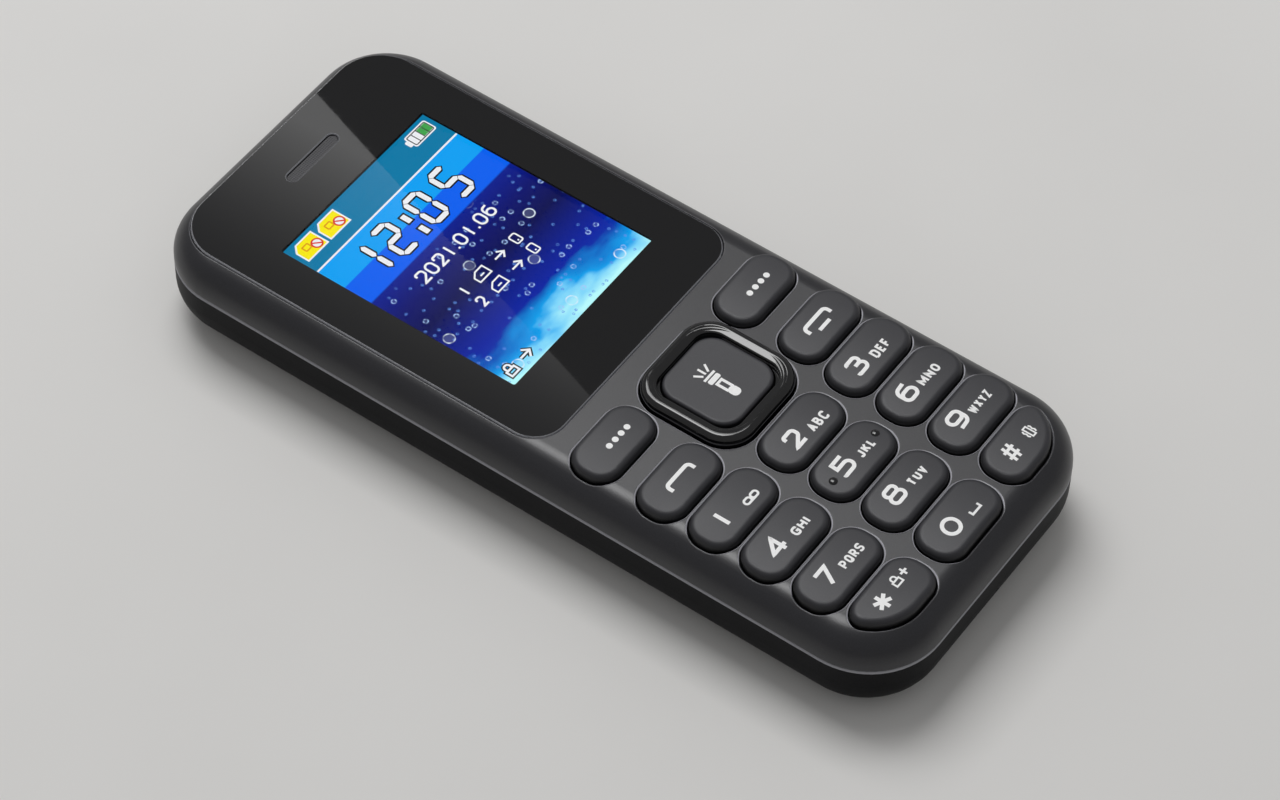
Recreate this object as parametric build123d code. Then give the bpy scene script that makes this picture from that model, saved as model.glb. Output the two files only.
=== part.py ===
from build123d import *
from dataclasses import dataclass
import math
import os

# Keypad mobile phone lying on its back. Millimetres. X runs across the phone, Y from the keys
# towards the earpiece and Z from the back to the front. The origin is under the body's middle.

# Body
body_width = 46.0
body_length = 110.0
body_thickness = 13.5
top_corner_radius = 9.5
bottom_corner_radius = 10.0
front_edge_radius = 4.0
rear_edge_radius = 5.8
seam_height = 9.0
seam_gap = 0.12
seam_chamfer = 0.2

# Walls and general clearances
housing_wall = 1.3
housing_inner_radius = 0.8
cover_wall = 1.1
cover_clearance = 0.25
rear_wall = 1.0
fit_gap = 0.1
touch_gap = 0.05
cut_margin = 1.0

# Screen, from the front inwards
lens_side_margin = 3.0
lens_top_margin = 2.2
lens_key_gap = 2.86
lens_thickness = 0.9
lens_top_radius = 6.3
lens_bottom_radius = 4.3
lens_edge_chamfer = 0.2
adhesive_thickness = 0.15
adhesive_margin = 0.3
ledge_thickness = 1.0
picture_side_margin = 5.985
picture_top_margin = 12.88
picture_bottom_margin = 8.58
window_margin = 1.0
gasket_thickness = 0.3
gasket_width = 1.4
panel_thickness = 2.5
panel_side_border = 2.985
panel_top_border = 3.0
panel_bottom_border = 7.76
panel_glass_border = 0.6
lens_glass_gap = 0.2
frame_wall = 0.2
frame_lip = 0.4
flex_width = 16.0
flex_thickness = 0.12
flex_reach = 0.8
flex_foot = 1.2

# Board and the can under the screen
board_thickness = 0.9
board_edge_gap = 0.25
can_height = 1.1
can_side_inset = 2.0
can_end_inset = 4.9
can_wall = 0.2

# Earpiece slot and the parts behind it
slot_length = 9.4
slot_width = 1.6
slot_end_margin = 8.65
slot_rim_chamfer = 0.15
mesh_overlap = 0.4
mesh_recess = 0.3
mesh_gap = 0.08
earpiece_side_gap = 1.3
earpiece_length = 5.8
earpiece_thickness = 2.4

# Keys
row_share = 0.06664
row_web = 0.38
last_row_margin = 6.2
soft_row_spare = 2.12
key_corner_share = 0.446
centre_key_width = 12.86
side_key_inner = 7.59
upper_key_web = 0.35
side_key_margin = 2.33
corner_key_margin = 2.95
corner_key_blend_share = 0.24
hole_edge_chamfer = 0.15
key_gap = 0.2
key_rise = 1.16
key_edge_radius = 0.85
key_crown_radius = 60.0
key_travel = 0.3
tab_length = 0.45
tab_width = 3.0
tab_thickness = 0.55
plunger_radius = 1.1
dome_gap = 0.05
nub_spread = 4.4
nub_radius = 0.55
nub_rise = 0.2

# Navigation ring and the key in its middle
ring_hole_inset = 0.2
ring_hole_radius = 4.6
ring_gap = 0.25
ring_band = 2.0
ring_opening_radius = 3.2
ring_rise = 1.35
ring_step_width = 0.5
ring_step_drop = 0.85
ring_outer_round = 0.9
ring_inner_round = 0.5
ring_tilt_gap = 0.3
lug_radius = 0.9
lug_tilt_gap = 0.6
lug_thickness = 0.4
ring_plunger_radius = 0.65
seat_thickness = 0.35
seat_overlap = 1.05
seat_plunger_gap = 0.3
select_gap = 0.25
select_rise = 1.1
select_edge_radius = 0.45
select_stem_inset = 1.35
select_flange_inset = 0.55
select_flange_thickness = 0.35

# Domes, film, lamps and light guide under the keys
dome_radius = 2.0
ring_dome_radius = 1.7
dome_height = 0.35
dome_sheet = 0.08
film_thickness = 0.1
film_gap = 0.3
guide_thickness = 0.85
guide_rim = 0.8
guide_drop = 0.4
guide_bore_gap = 0.4
guide_edge_gap = 0.3
lamp_length = 1.6
lamp_width = 0.8
lamp_thickness = 0.5

# Battery and its bay
battery_side_room = 6.0
battery_length = 53.0
battery_thickness = 4.6
battery_foot_room = 17.2
battery_corner = 1.5
battery_edge = 0.4
bay_gap = 0.25
bay_wall = 0.8
bay_floor = 0.6
finger_notch_width = 12.0
terminal_width = 2.2
terminal_length = 1.6
terminal_thickness = 0.3
terminal_pitch_share = 8.5
connector_border = 1.2
connector_length = 4.1
pin_width = 0.8
pin_length = 2.7
pin_height = 1.4
pin_travel = 0.3
pin_slot_gap = 0.12

# Card holders on the back of the board
sim_thickness = 1.5
sim_middle_gap = 0.6
sim_end_gap = 1.9
sim_side_gap = 0.5
card_slot_side_room = 4.6
card_slot_end_room = 3.5
card_slot_gap = 1.6
slot_mouth = 0.9
slot_depth_margin = 0.5
bay_edge_gap = 0.3

# Sound, motor and microphone at the bottom end
speaker_end_room = 2.7
speaker_thickness = 3.0
speaker_shift = 1.4
speaker_mesh_thickness = 0.15
sound_hole_radius = 0.55
sound_hole_count = 6
motor_radius = 2.0
motor_length = 7.0
motor_left = -5.6
motor_shaft_radius = 0.4
motor_shaft_clearance = 0.04
weight_radius = 1.85
weight_length = 2.8
weight_gap = 0.4
holder_length = 5.4
holder_wall = 0.5
microphone_width = 3.8
microphone_length = 3.0
microphone_thickness = 1.1
microphone_gap = 0.7
microphone_boot_wall = 0.5
microphone_boot_depth = 2.35
microphone_hole_radius = 0.5
microphone_hole_drop = 1.65

# Sockets and torch at the top end
jack_shift = 2.0
jack_bore_radius = 1.8
jack_bore_length = 11.6
jack_width = 6.4
jack_thickness = 5.0
jack_length = 9.0
jack_end_gap = 1.2
jack_drop = 1.5
jack_nose_width = 5.4
jack_setback = 0.3
jack_nose_corner = 0.6
usb_side_room = 13.0
usb_width = 7.5
usb_thickness = 2.6
usb_length = 5.4
usb_wall = 0.3
usb_corner = 0.7
usb_drop = 0.45
tongue_width = 4.0
tongue_thickness = 0.6
tongue_length = 3.6
socket_setback = 1.5
plug_gap = 0.4
torch_lens_radius = 2.2
torch_lens_setback = 0.3
torch_drop = 1.05
torch_lamp_radius = 1.5
torch_lamp_length = 3.2
antenna_leg_gap = 0.15
antenna_length = 4.0
antenna_thickness = 0.25
antenna_rise = 2.6
antenna_end_room = 8.8

# Screws and snaps
screw_side_margin = 6.0
screw_end_margin = 7.4
side_screw_gap = 0.2
side_screw_y = 8.0
screw_radius = 0.65
screw_head_radius = 1.3
screw_head_thickness = 0.9
screw_pilot_gap = 0.03
screw_end_gap = 0.5
front_boss_radius = 1.5
rear_boss_radius = 1.8
head_seat_depth = 2.05
housing_lip = 1.2
snap_length = 6.0
snap_height = 0.7
snap_depth = 0.3
cover_snap_drop = 1.4
cover_snap_depth = 0.2
snap_side_places = (-38.0, -20.0, 20.0)
snap_end_places = (-8.0, 8.0)
nail_notch_length = 9.0
nail_notch_height = 1.2
nail_notch_depth = 0.5
nail_notch_y = -30.0

# Levels that follow from the sizes above, all measured from the back face
adhesive_level = body_thickness - lens_thickness - adhesive_thickness
plate_underside = adhesive_level - ledge_thickness
panel_bottom = plate_underside - gasket_thickness - panel_thickness
can_top = panel_bottom - frame_wall
board_top = can_top - can_height
board_bottom = board_top - board_thickness
bay_floor_level = board_bottom - bay_floor
cover_snap_level = seam_height - cover_snap_drop
rear_outer_inset = cover_wall + cover_clearance
rear_inner_inset = rear_outer_inset + rear_wall
rear_skin_bottom = rear_outer_inset
rear_skin_top = rear_inner_inset
battery_top = bay_floor_level - touch_gap
battery_bottom = battery_top - battery_thickness
plunger_tip = board_top + dome_height + dome_gap
head_seat_level = board_bottom - head_seat_depth
jack_height = board_top - jack_drop
jack_nose_bottom = jack_height - jack_nose_width / 2
usb_height = board_top - usb_drop
torch_height = board_top - torch_drop
microphone_hole_height = board_bottom - microphone_hole_drop
terminal_rise = (battery_bottom + battery_top) / 2
connector_bottom = rear_skin_top + bay_gap
tab_top = plate_underside - touch_gap
tab_bottom = tab_top - tab_thickness
lug_top = plate_underside - lug_tilt_gap
ring_bottom = lug_top - lug_thickness
seat_top = ring_bottom - ring_tilt_gap
seat_bottom = seat_top - seat_thickness
select_flange_top = seat_bottom - ring_tilt_gap
select_flange_bottom = select_flange_top - select_flange_thickness
select_shoulder = seat_top + key_travel + ring_tilt_gap
guide_top = seat_bottom - guide_drop

# Places that follow from the sizes above
half_width = body_width / 2
half_length = body_length / 2
row_pitch = body_length * row_share
key_hole_height = row_pitch - row_web
key_corner_radius = key_hole_height * key_corner_share
corner_key_blend = key_hole_height * corner_key_blend_share
soft_row_rise = row_pitch + soft_row_spare
last_row_y = last_row_margin - half_length
upper_row_y = last_row_y + 4 * row_pitch
soft_row_y = upper_row_y + soft_row_rise
nav_y = (upper_row_y + soft_row_y) / 2
side_key_outer = half_width - side_key_margin
ring_hole_size = soft_row_rise + key_hole_height - ring_hole_inset
upper_key_inner = ring_hole_size / 2 + upper_key_web
lens_width = body_width - 2 * lens_side_margin
lens_top = half_length - lens_top_margin
lens_length = lens_top - (soft_row_y + key_hole_height / 2 + lens_key_gap)
lens_y = lens_top - lens_length / 2
picture_width = lens_width - 2 * picture_side_margin
picture_length = lens_length - picture_top_margin - picture_bottom_margin
screen_height = lens_y + (picture_bottom_margin - picture_top_margin) / 2
panel_width = picture_width + 2 * panel_side_border
panel_length = picture_length + panel_top_border + panel_bottom_border
panel_y = screen_height + (panel_top_border - panel_bottom_border) / 2
can_width = panel_width - 2 * can_side_inset
can_length = panel_length - 2 * can_end_inset
slot_height = half_length - slot_end_margin
rear_inner_end = half_length - rear_inner_inset
socket_face = half_length - socket_setback
jack_face = half_length - jack_setback
frame_width = panel_width + 2 * (fit_gap + frame_wall)
frame_length = panel_length + 2 * (fit_gap + frame_wall)
flex_start = panel_y - frame_length / 2
flex_end = flex_start - flex_reach + flex_thickness - flex_foot
guide_bottom_edge = guide_edge_gap - rear_inner_end
guide_top_edge = flex_end - guide_edge_gap
ring_size = ring_hole_size - 2 * ring_gap
ring_opening = ring_size - 2 * ring_band
seat_opening = ring_opening - 2 * seat_overlap
select_stem_size = ring_opening - 2 * select_stem_inset
select_flange_size = ring_opening - 2 * select_flange_inset
ring_plunger_spread = (ring_size + ring_opening) / 4
lamp_spread = (centre_key_width / 2 + side_key_inner) / 2
battery_width = body_width - 2 * battery_side_room
battery_end = battery_foot_room - half_length
battery_y = battery_end + battery_length / 2
bay_end = battery_end - bay_gap - bay_wall
terminal_pitch = battery_width / terminal_pitch_share
connector_width = 2 * (terminal_pitch + connector_border)
connector_front = battery_end - bay_gap
connector_back = connector_front - connector_length
jack_x = (jack_shift - half_width) / 2
jack_back = rear_inner_end - jack_end_gap - jack_length
usb_x = half_width - usb_side_room
earpiece_width = 2 * (-jack_x - jack_width / 2 - earpiece_side_gap)
antenna_width = jack_width + 2 * (antenna_thickness + antenna_leg_gap)
antenna_y = half_length - antenna_end_room
sim_width = battery_width / 2 - sim_middle_gap
sim_spread = battery_width / 4
sim_bay_width = 2 * sim_spread + sim_width + 2 * sim_side_gap
sim_bay_start = battery_end + battery_length + bay_gap + bay_wall
sim_bay_length = jack_back - 2 * bay_edge_gap - bay_wall - sim_bay_start
sim_length = sim_bay_length - 2 * sim_end_gap
sim_y = sim_bay_start + sim_bay_length / 2
foot_room = rear_inner_end + bay_end - bay_edge_gap
speaker_radius = (foot_room - speaker_end_room) / 2
speaker_x = -(half_width + speaker_shift) / 2
speaker_y = bay_end - bay_edge_gap - speaker_radius
sound_ring_radius = speaker_radius / 2
weight_end = motor_left + motor_length + weight_gap + weight_length
card_slot_outer = half_width - card_slot_side_room
card_slot_inner = connector_width / 2 + card_slot_gap
card_slot_width = card_slot_outer - card_slot_inner
card_slot_length = foot_room - card_slot_end_room
card_slot_x = (card_slot_outer + card_slot_inner) / 2
card_slot_y = bay_end - bay_edge_gap - card_slot_length / 2
holder_width = 2 * (motor_radius + holder_wall)
motor_y = connector_back - bay_gap - holder_width / 2
microphone_y = motor_y - holder_width / 2 - microphone_gap - microphone_boot_wall - microphone_length / 2
screw_x = half_width - screw_side_margin
screw_y = half_length - screw_end_margin
side_screw_x = frame_width / 2 + side_screw_gap + front_boss_radius


@dataclass(frozen=True)
class Key:
    """A key's node name, with the centre and width of its hole. A corner key sits in the body's
    rounded corner at the left (-1) or the right (1)."""

    name: str
    x: float
    y: float
    width: float
    corner: int = 0


def side_key(name, side, row_y, inner, outer, corner=0):
    """Key of the left or right column, between its inner and outer distance from the middle."""
    return Key(name, side * (inner + outer) / 2, row_y, outer - inner, corner)


def list_keys():
    """Soft keys, call and end keys, then four rows of three number keys."""
    keys = []
    for name, side, row_y in (("key_soft_left", -1, soft_row_y), ("key_soft_right", 1, soft_row_y),
                              ("key_call", -1, upper_row_y), ("key_end", 1, upper_row_y)):
        keys.append(side_key(name, side, row_y, upper_key_inner, side_key_outer))
    rows = (("1", "2", "3"), ("4", "5", "6"), ("7", "8", "9"), ("star", "0", "hash"))
    for row, labels in enumerate(rows):
        row_y = upper_row_y - (row + 1) * row_pitch
        in_corner = row == len(rows) - 1
        outer = half_width - corner_key_margin if in_corner else side_key_outer
        for side, label in zip((-1, 0, 1), labels):
            name = "key_" + label
            if side == 0:
                keys.append(Key(name, 0, row_y, centre_key_width))
            else:
                keys.append(side_key(name, side, row_y, side_key_inner, outer, side * in_corner))
    return keys


def prism(outline, bottom, top):
    """Flat outline drawn up from one level to another."""
    return Pos(0, 0, bottom) * extrude(outline, amount=top - bottom)


def block(x, y, width, length, bottom, top):
    """Plain box by its middle, its two sides and its two levels."""
    return Pos(x, y, (bottom + top) / 2) * Box(width, length, top - bottom)


def post(x, y, radius, bottom, top):
    """Upright cylinder between two levels."""
    return Pos(x, y, (bottom + top) / 2) * Cylinder(radius, top - bottom)


def lying_rod(x, z, radius, start, end):
    """Cylinder along Y between two places."""
    return Pos(x, (start + end) / 2, z) * Rot(90, 0, 0) * Cylinder(radius, end - start)


def cross_rod(y, z, radius, start, end):
    """Cylinder along X between two places."""
    return Pos((start + end) / 2, y, z) * Rot(0, 90, 0) * Cylinder(radius, end - start)


def two_radius_outline(width, length, top_radius, bottom_radius):
    """Rectangle with one radius at its two +Y corners and another at its two -Y corners."""
    outline = Rectangle(width, length)
    outline = fillet(outline.vertices().sort_by(Axis.Y)[:2], bottom_radius)
    return fillet(outline.vertices().sort_by(Axis.Y)[-2:], top_radius)


def body_outline(inset):
    """Outline of the body seen from the front, drawn in by an inset."""
    return two_radius_outline(body_width - 2 * inset, body_length - 2 * inset,
                              top_corner_radius - inset, bottom_corner_radius - inset)


def lens_outline(inset):
    """Outline of the screen lens, drawn in by an inset."""
    outline = two_radius_outline(lens_width - 2 * inset, lens_length - 2 * inset,
                                 lens_top_radius - inset, lens_bottom_radius - inset)
    return Pos(0, lens_y) * outline


def picture_outline(margin):
    """Rectangle round the picture area."""
    return Pos(0, screen_height) * Rectangle(picture_width + 2 * margin, picture_length + 2 * margin)


def slot_outline(margin):
    """Earpiece slot with a margin all round."""
    return Pos(0, slot_height) * SlotOverall(slot_length + 2 * margin, slot_width + 2 * margin)


def key_outline(key, inset):
    """Outline of a key's hole drawn in by an inset. A corner key follows the body's corner."""
    width = key.width - 2 * inset
    height = key_hole_height - 2 * inset
    outline = RectangleRounded(width, height, key_corner_radius - inset)
    if key.corner:
        arc_radius = bottom_corner_radius - corner_key_margin
        arc_x = key.corner * (half_width - bottom_corner_radius) - key.x
        arc_y = arc_radius - key_hole_height / 2
        inner_side = Pos(arc_x - key.corner * key.width, 0) * Rectangle(2 * key.width, 2 * row_pitch)
        outline = outline & (Pos(arc_x, arc_y) * Circle(arc_radius - inset) + inner_side)
        end = 0 if key.corner < 0 else -1
        outline = fillet(outline.vertices().sort_by(Axis.X)[end], corner_key_blend)
    return Pos(key.x, key.y) * outline


def ring_outline(size, radius):
    """Rounded square about the navigation centre."""
    return Pos(0, nav_y) * RectangleRounded(size, size, radius)


def ring_places():
    """Centres of the four plungers under the navigation ring."""
    return [(0, nav_y + ring_plunger_spread), (0, nav_y - ring_plunger_spread),
            (ring_plunger_spread, nav_y), (-ring_plunger_spread, nav_y)]


def dome_places():
    """Centre and radius of every dome: keys, middle key, then the ring's four."""
    places = [(key.x, key.y, dome_radius) for key in list_keys()]
    places.append((0, nav_y, dome_radius))
    return places + [(x, y, ring_dome_radius) for x, y in ring_places()]


def lamp_places():
    """Centres of the keypad lamps, between the columns of the first three number rows."""
    return [(side * lamp_spread, upper_row_y - row * row_pitch) for side in (-1, 1) for row in (1, 2, 3)]


def screw_places():
    """Two screws at the top corners and two beside the screen."""
    return [(side * x, y) for side in (-1, 1) for x, y in ((screw_x, screw_y), (side_screw_x, side_screw_y))]


def snap_bars(inset, depth, level, end_gap=0):
    """Bars along both sides and the bottom end. Each starts at an inset and reaches outwards."""
    bars = []
    height = snap_height + 2 * end_gap
    length = snap_length + 2 * end_gap
    for side in (-1, 1):
        for y in snap_side_places:
            x = side * (half_width - inset + depth / 2)
            bars.append(block(x, y, depth, length, level - height / 2, level + height / 2))
    for x in snap_end_places:
        y = -(half_length - inset + depth / 2)
        bars.append(block(x, y, length, depth, level - height / 2, level + height / 2))
    return bars


def sound_places():
    """One sound hole in the middle and a ring of them, in front of the loudspeaker."""
    places = [(speaker_x, speaker_y)]
    for index in range(sound_hole_count):
        angle = 2 * math.pi * index / sound_hole_count
        places.append((speaker_x + sound_ring_radius * math.cos(angle),
                       speaker_y + sound_ring_radius * math.sin(angle)))
    return places


def slot_prism(x, height, radius, start, end, top):
    """Round below and straight up to a level, drawn along Y."""
    upper = block(x, (start + end) / 2, 2 * radius, end - start, height, top)
    return lying_rod(x, height, radius, start, end) + upper


def usb_block(gap, start, end):
    """Rounded block along Y with the charging socket's section, larger by a gap."""
    outline = RectangleRounded(usb_width + 2 * gap, usb_thickness + 2 * gap, usb_corner + gap)
    solid = extrude(outline, amount=end - start)
    return Pos(usb_x, end, usb_height) * Rot(90, 0, 0) * solid


def end_wall_openings(gap):
    """Everything that passes the end walls, larger by a gap. The jack, the socket and the torch
    drop in from the front, so theirs are slots that are open there."""
    start = rear_inner_end - jack_end_gap - plug_gap
    end = half_length + cut_margin
    middle = (start + end) / 2
    top = seam_height + 2 * housing_lip
    return [block(jack_x, middle, jack_nose_width + 2 * gap, end - start, jack_nose_bottom - gap, top),
            block(usb_x, middle, usb_width + 2 * gap, end - start, usb_height - usb_thickness / 2 - gap, top),
            slot_prism(0, torch_height, torch_lens_radius + fit_gap, start, end, top),
            lying_rod(0, microphone_hole_height, microphone_hole_radius, -end, -start)]


def make_front_housing():
    """Face, shoulders and upper side walls, with the screen recess and the key holes."""
    solid = prism(body_outline(0), seam_height, body_thickness)
    solid = fillet(solid.edges().group_by(Axis.Z)[-1], front_edge_radius)
    solid = chamfer(solid.edges().group_by(Axis.Z)[0], seam_chamfer)
    cavity = prism(body_outline(housing_wall), seam_height - cut_margin, plate_underside)
    solid -= fillet(cavity.edges().group_by(Axis.Z)[-1], housing_inner_radius)
    for x, y in screw_places():
        solid += post(x, y, front_boss_radius, board_top, plate_underside)
        solid -= post(x, y, screw_radius + screw_pilot_gap, board_top - cut_margin, plate_underside)
    solid -= prism(lens_outline(-fit_gap), adhesive_level, body_thickness + cut_margin)
    solid -= prism(picture_outline(window_margin), plate_underside - cut_margin, body_thickness)
    solid -= prism(slot_outline(0), plate_underside - cut_margin, body_thickness)
    holes = [prism(key_outline(key, 0), plate_underside - cut_margin, body_thickness + cut_margin)
             for key in list_keys()]
    holes.append(prism(ring_outline(ring_hole_size, ring_hole_radius),
                       plate_underside - cut_margin, body_thickness + cut_margin))
    solid -= holes
    solid -= snap_bars(housing_wall + cut_margin, snap_depth + cut_margin + touch_gap,
                       snap_level(), touch_gap)
    return chamfer([edge for edge in solid.edges() if on_hole_rim(edge)], hole_edge_chamfer)


def on_hole_rim(edge):
    """Whether an edge is part of the upper rim of a key's hole or the ring's hole."""
    box = edge.bounding_box()
    centre = box.center()
    if box.min.Z < body_thickness - front_edge_radius / 4:
        return False
    zones = [(key.x, key.y, key.width, key_hole_height) for key in list_keys()]
    zones.append((0, nav_y, ring_hole_size, ring_hole_size))
    return any(abs(centre.X - x) < width / 2 + touch_gap and abs(centre.Y - y) < length / 2 + touch_gap
               for x, y, width, length in zones)


def snap_level():
    """Middle height of the snaps between the two housings."""
    return seam_height + housing_lip / 2


def inner_cavity():
    """Hollow of the rear housing, open to the front."""
    cavity = prism(body_outline(rear_inner_inset), rear_skin_top, body_thickness)
    return fillet(cavity.edges().group_by(Axis.Z)[0], rear_edge_radius - rear_inner_inset)


def battery_block(gap, bottom, top):
    """Battery outline with a gap all round."""
    outline = RectangleRounded(battery_width + 2 * gap, battery_length + 2 * gap, battery_corner + gap)
    return prism(Pos(0, battery_y) * outline, bottom, top)


def make_rear_housing():
    """Inner tray: battery bay, card bays, screw posts and the lip inside the front housing."""
    solid = prism(body_outline(rear_outer_inset), rear_skin_bottom, seam_height + housing_lip)
    solid = fillet(solid.edges().group_by(Axis.Z)[0], rear_edge_radius - rear_outer_inset)
    below = -cut_margin
    hollow = inner_cavity()
    hollow -= battery_block(bay_gap + bay_wall, below, board_bottom)
    hollow -= block(0, sim_y, sim_bay_width + 2 * bay_wall, sim_bay_length + 2 * bay_wall,
                    below, board_bottom)
    hollow -= block(card_slot_x, card_slot_y, card_slot_width + 2 * (bay_edge_gap + bay_wall),
                    card_slot_length + 2 * (bay_edge_gap + bay_wall), below, board_bottom)
    for x, y in screw_places():
        hollow -= post(x, y, rear_boss_radius, below, board_bottom)
    solid -= hollow
    solid -= battery_block(bay_gap, below, bay_floor_level)
    solid -= block(0, sim_y, sim_bay_width, sim_bay_length, below, body_thickness)
    solid -= block(card_slot_x, card_slot_y, card_slot_width + 2 * bay_edge_gap,
                   card_slot_length + 2 * bay_edge_gap, below, body_thickness)
    notch_y = battery_y + battery_length / 2 + bay_gap + bay_wall
    solid -= block(0, notch_y, finger_notch_width, 2 * bay_wall + cut_margin, below, head_seat_level)
    solid -= block(0, battery_end - bay_gap - bay_wall / 2, connector_width + 2 * bay_gap,
                   bay_wall + 2 * bay_gap, rear_skin_top, body_thickness)
    for x, y in screw_places():
        solid -= post(x, y, screw_radius + fit_gap, below, body_thickness)
        solid -= post(x, y, screw_head_radius + fit_gap, below, head_seat_level)
    solid -= end_wall_openings(plug_gap)
    solid -= [post(x, y, sound_hole_radius, below, rear_skin_top + cut_margin) for x, y in sound_places()]
    return solid + snap_bars(rear_outer_inset + touch_gap, snap_depth + touch_gap, snap_level())


def make_rear_cover():
    """Outer back shell up to the seam, with sound holes, socket openings and a nail notch."""
    top = seam_height - seam_gap
    solid = prism(body_outline(0), 0, top)
    solid = fillet(solid.edges().group_by(Axis.Z)[0], rear_edge_radius)
    solid = chamfer(solid.edges().group_by(Axis.Z)[-1], seam_chamfer)
    cavity = prism(body_outline(cover_wall), cover_wall, seam_height + cut_margin)
    solid -= fillet(cavity.edges().group_by(Axis.Z)[0], rear_edge_radius - cover_wall)
    solid += snap_bars(cover_wall + cover_snap_depth, cover_snap_depth + cover_wall / 2, cover_snap_level)
    solid -= end_wall_openings(plug_gap + fit_gap)
    solid -= [post(x, y, sound_hole_radius, -cut_margin, cover_wall + cut_margin) for x, y in sound_places()]
    solid -= block(half_width, nail_notch_y, 2 * nail_notch_depth, nail_notch_length,
                   top - nail_notch_height, top + cut_margin)
    return solid


def make_screen_lens():
    """Clear front window with a chamfered edge and the earpiece slot."""
    solid = prism(lens_outline(0), body_thickness - lens_thickness, body_thickness)
    solid = chamfer(solid.edges().group_by(Axis.Z)[-1], lens_edge_chamfer)
    solid -= prism(slot_outline(0), body_thickness - lens_thickness - cut_margin,
                   body_thickness + cut_margin)
    top = solid.edges().group_by(Axis.Z)[-1]
    rim = [edge for edge in top if abs(edge.center().Y - slot_height) < slot_width]
    return chamfer(rim, slot_rim_chamfer)


def make_lens_adhesive():
    """Thin frame between the lens and its ledge."""
    outline = lens_outline(adhesive_margin) - picture_outline(window_margin)
    outline -= slot_outline(mesh_overlap + fit_gap)
    return prism(outline, adhesive_level, adhesive_level + adhesive_thickness)


def make_earpiece_mesh():
    """Mesh behind the earpiece slot, pressed so that its middle stands up into the slot."""
    solid = prism(slot_outline(mesh_overlap), adhesive_level, adhesive_level + adhesive_thickness)
    return solid + prism(slot_outline(-mesh_gap), adhesive_level, body_thickness - mesh_recess)


def make_earpiece_speaker():
    """Small receiver under the earpiece slot."""
    outline = Pos(0, slot_height) * RectangleRounded(earpiece_width, earpiece_length, earpiece_length / 4)
    return prism(outline, plate_underside - earpiece_thickness, plate_underside)


def make_lcd_gasket():
    """Foam ring between the screen panel and the ledge."""
    outline = picture_outline(window_margin + gasket_width) - picture_outline(window_margin)
    return prism(outline, plate_underside - gasket_thickness, plate_underside)


def make_lcd_panel():
    """Backlight and glass stack of the screen. Its upper glass stands in the housing's window,
    close under the lens."""
    panel_top = panel_bottom + panel_thickness
    solid = block(0, panel_y, panel_width, panel_length, panel_bottom, panel_top)
    glass_top = body_thickness - lens_thickness - lens_glass_gap
    return solid + prism(picture_outline(panel_glass_border), panel_top, glass_top)


def make_lcd_frame():
    """Steel tray round the sides and the back of the screen panel."""
    top = panel_bottom + panel_thickness - frame_lip
    solid = block(0, panel_y, frame_width, frame_length, can_top, top)
    return solid - block(0, panel_y, panel_width + 2 * fit_gap, panel_length + 2 * fit_gap,
                         panel_bottom, top + cut_margin)


def make_lcd_flex():
    """Flat cable that bends from the screen's lower edge down to the board."""
    bend = flex_start - flex_reach
    high = panel_bottom + 2 * flex_thickness
    strip = block(0, (flex_start + bend) / 2, flex_width, flex_reach, high - flex_thickness, high)
    strip += block(0, bend + flex_thickness / 2, flex_width, flex_thickness, board_top, high)
    foot = block(0, flex_end + flex_foot / 2, flex_width, flex_foot, board_top, board_top + flex_thickness)
    return strip + foot


def make_main_board():
    """Circuit board, cut away round the jack, the charging socket and the torch lamp."""
    inset = rear_inner_inset + board_edge_gap
    solid = prism(body_outline(inset), board_bottom, board_top)
    cuts = [(jack_x, jack_width, jack_back), (usb_x, usb_width, socket_face - usb_length),
            (0, 2 * torch_lamp_radius, rear_inner_end - torch_lamp_length)]
    for x, width, back in cuts:
        start = back - fit_gap
        middle = (start + half_length) / 2
        solid -= block(x, middle, width + 2 * fit_gap, half_length - start, 0, body_thickness)
    solid -= [post(x, y, screw_radius + fit_gap, 0, body_thickness) for x, y in screw_places()]
    return solid


def make_shield_can():
    """Folded steel lid over the radio parts, which also carries the screen."""
    solid = block(0, panel_y, can_width, can_length, board_top, can_top)
    return solid - block(0, panel_y, can_width - 2 * can_wall, can_length - 2 * can_wall,
                         board_top - cut_margin, can_top - can_wall)


def dome_shell(x, y, radius):
    """Domed steel disc on the board, as the gap between two ball caps."""
    ball = (radius ** 2 + dome_height ** 2) / (2 * dome_height)
    centre = board_top + dome_height - ball
    outer = Pos(x, y, centre) * Sphere(ball)
    shell = outer - Pos(x, y, centre - dome_sheet) * Sphere(ball)
    return shell & post(x, y, radius, board_top, board_top + dome_height)


def make_key_domes():
    """All the snap domes, as separate discs."""
    return [dome_shell(x, y, radius) for x, y, radius in dome_places()]


def keypad_outline(inset):
    """Keypad area inside the rear housing, below the screen, drawn in by an inset."""
    whole = body_outline(rear_inner_inset + guide_edge_gap + inset)
    length = guide_top_edge - guide_bottom_edge - 2 * inset
    middle = (guide_top_edge + guide_bottom_edge) / 2
    return whole & Pos(0, middle) * Rectangle(body_width, length)


def make_dome_film():
    """Printed film on the board, with an opening round each dome and lamp."""
    solid = prism(keypad_outline(0), board_top, board_top + film_thickness)
    solid -= [post(x, y, radius + film_gap, 0, body_thickness) for x, y, radius in dome_places()]
    solid -= [block(x, y, lamp_width + 2 * film_gap, lamp_length + 2 * film_gap, 0, body_thickness)
              for x, y in lamp_places()]
    return solid


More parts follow.
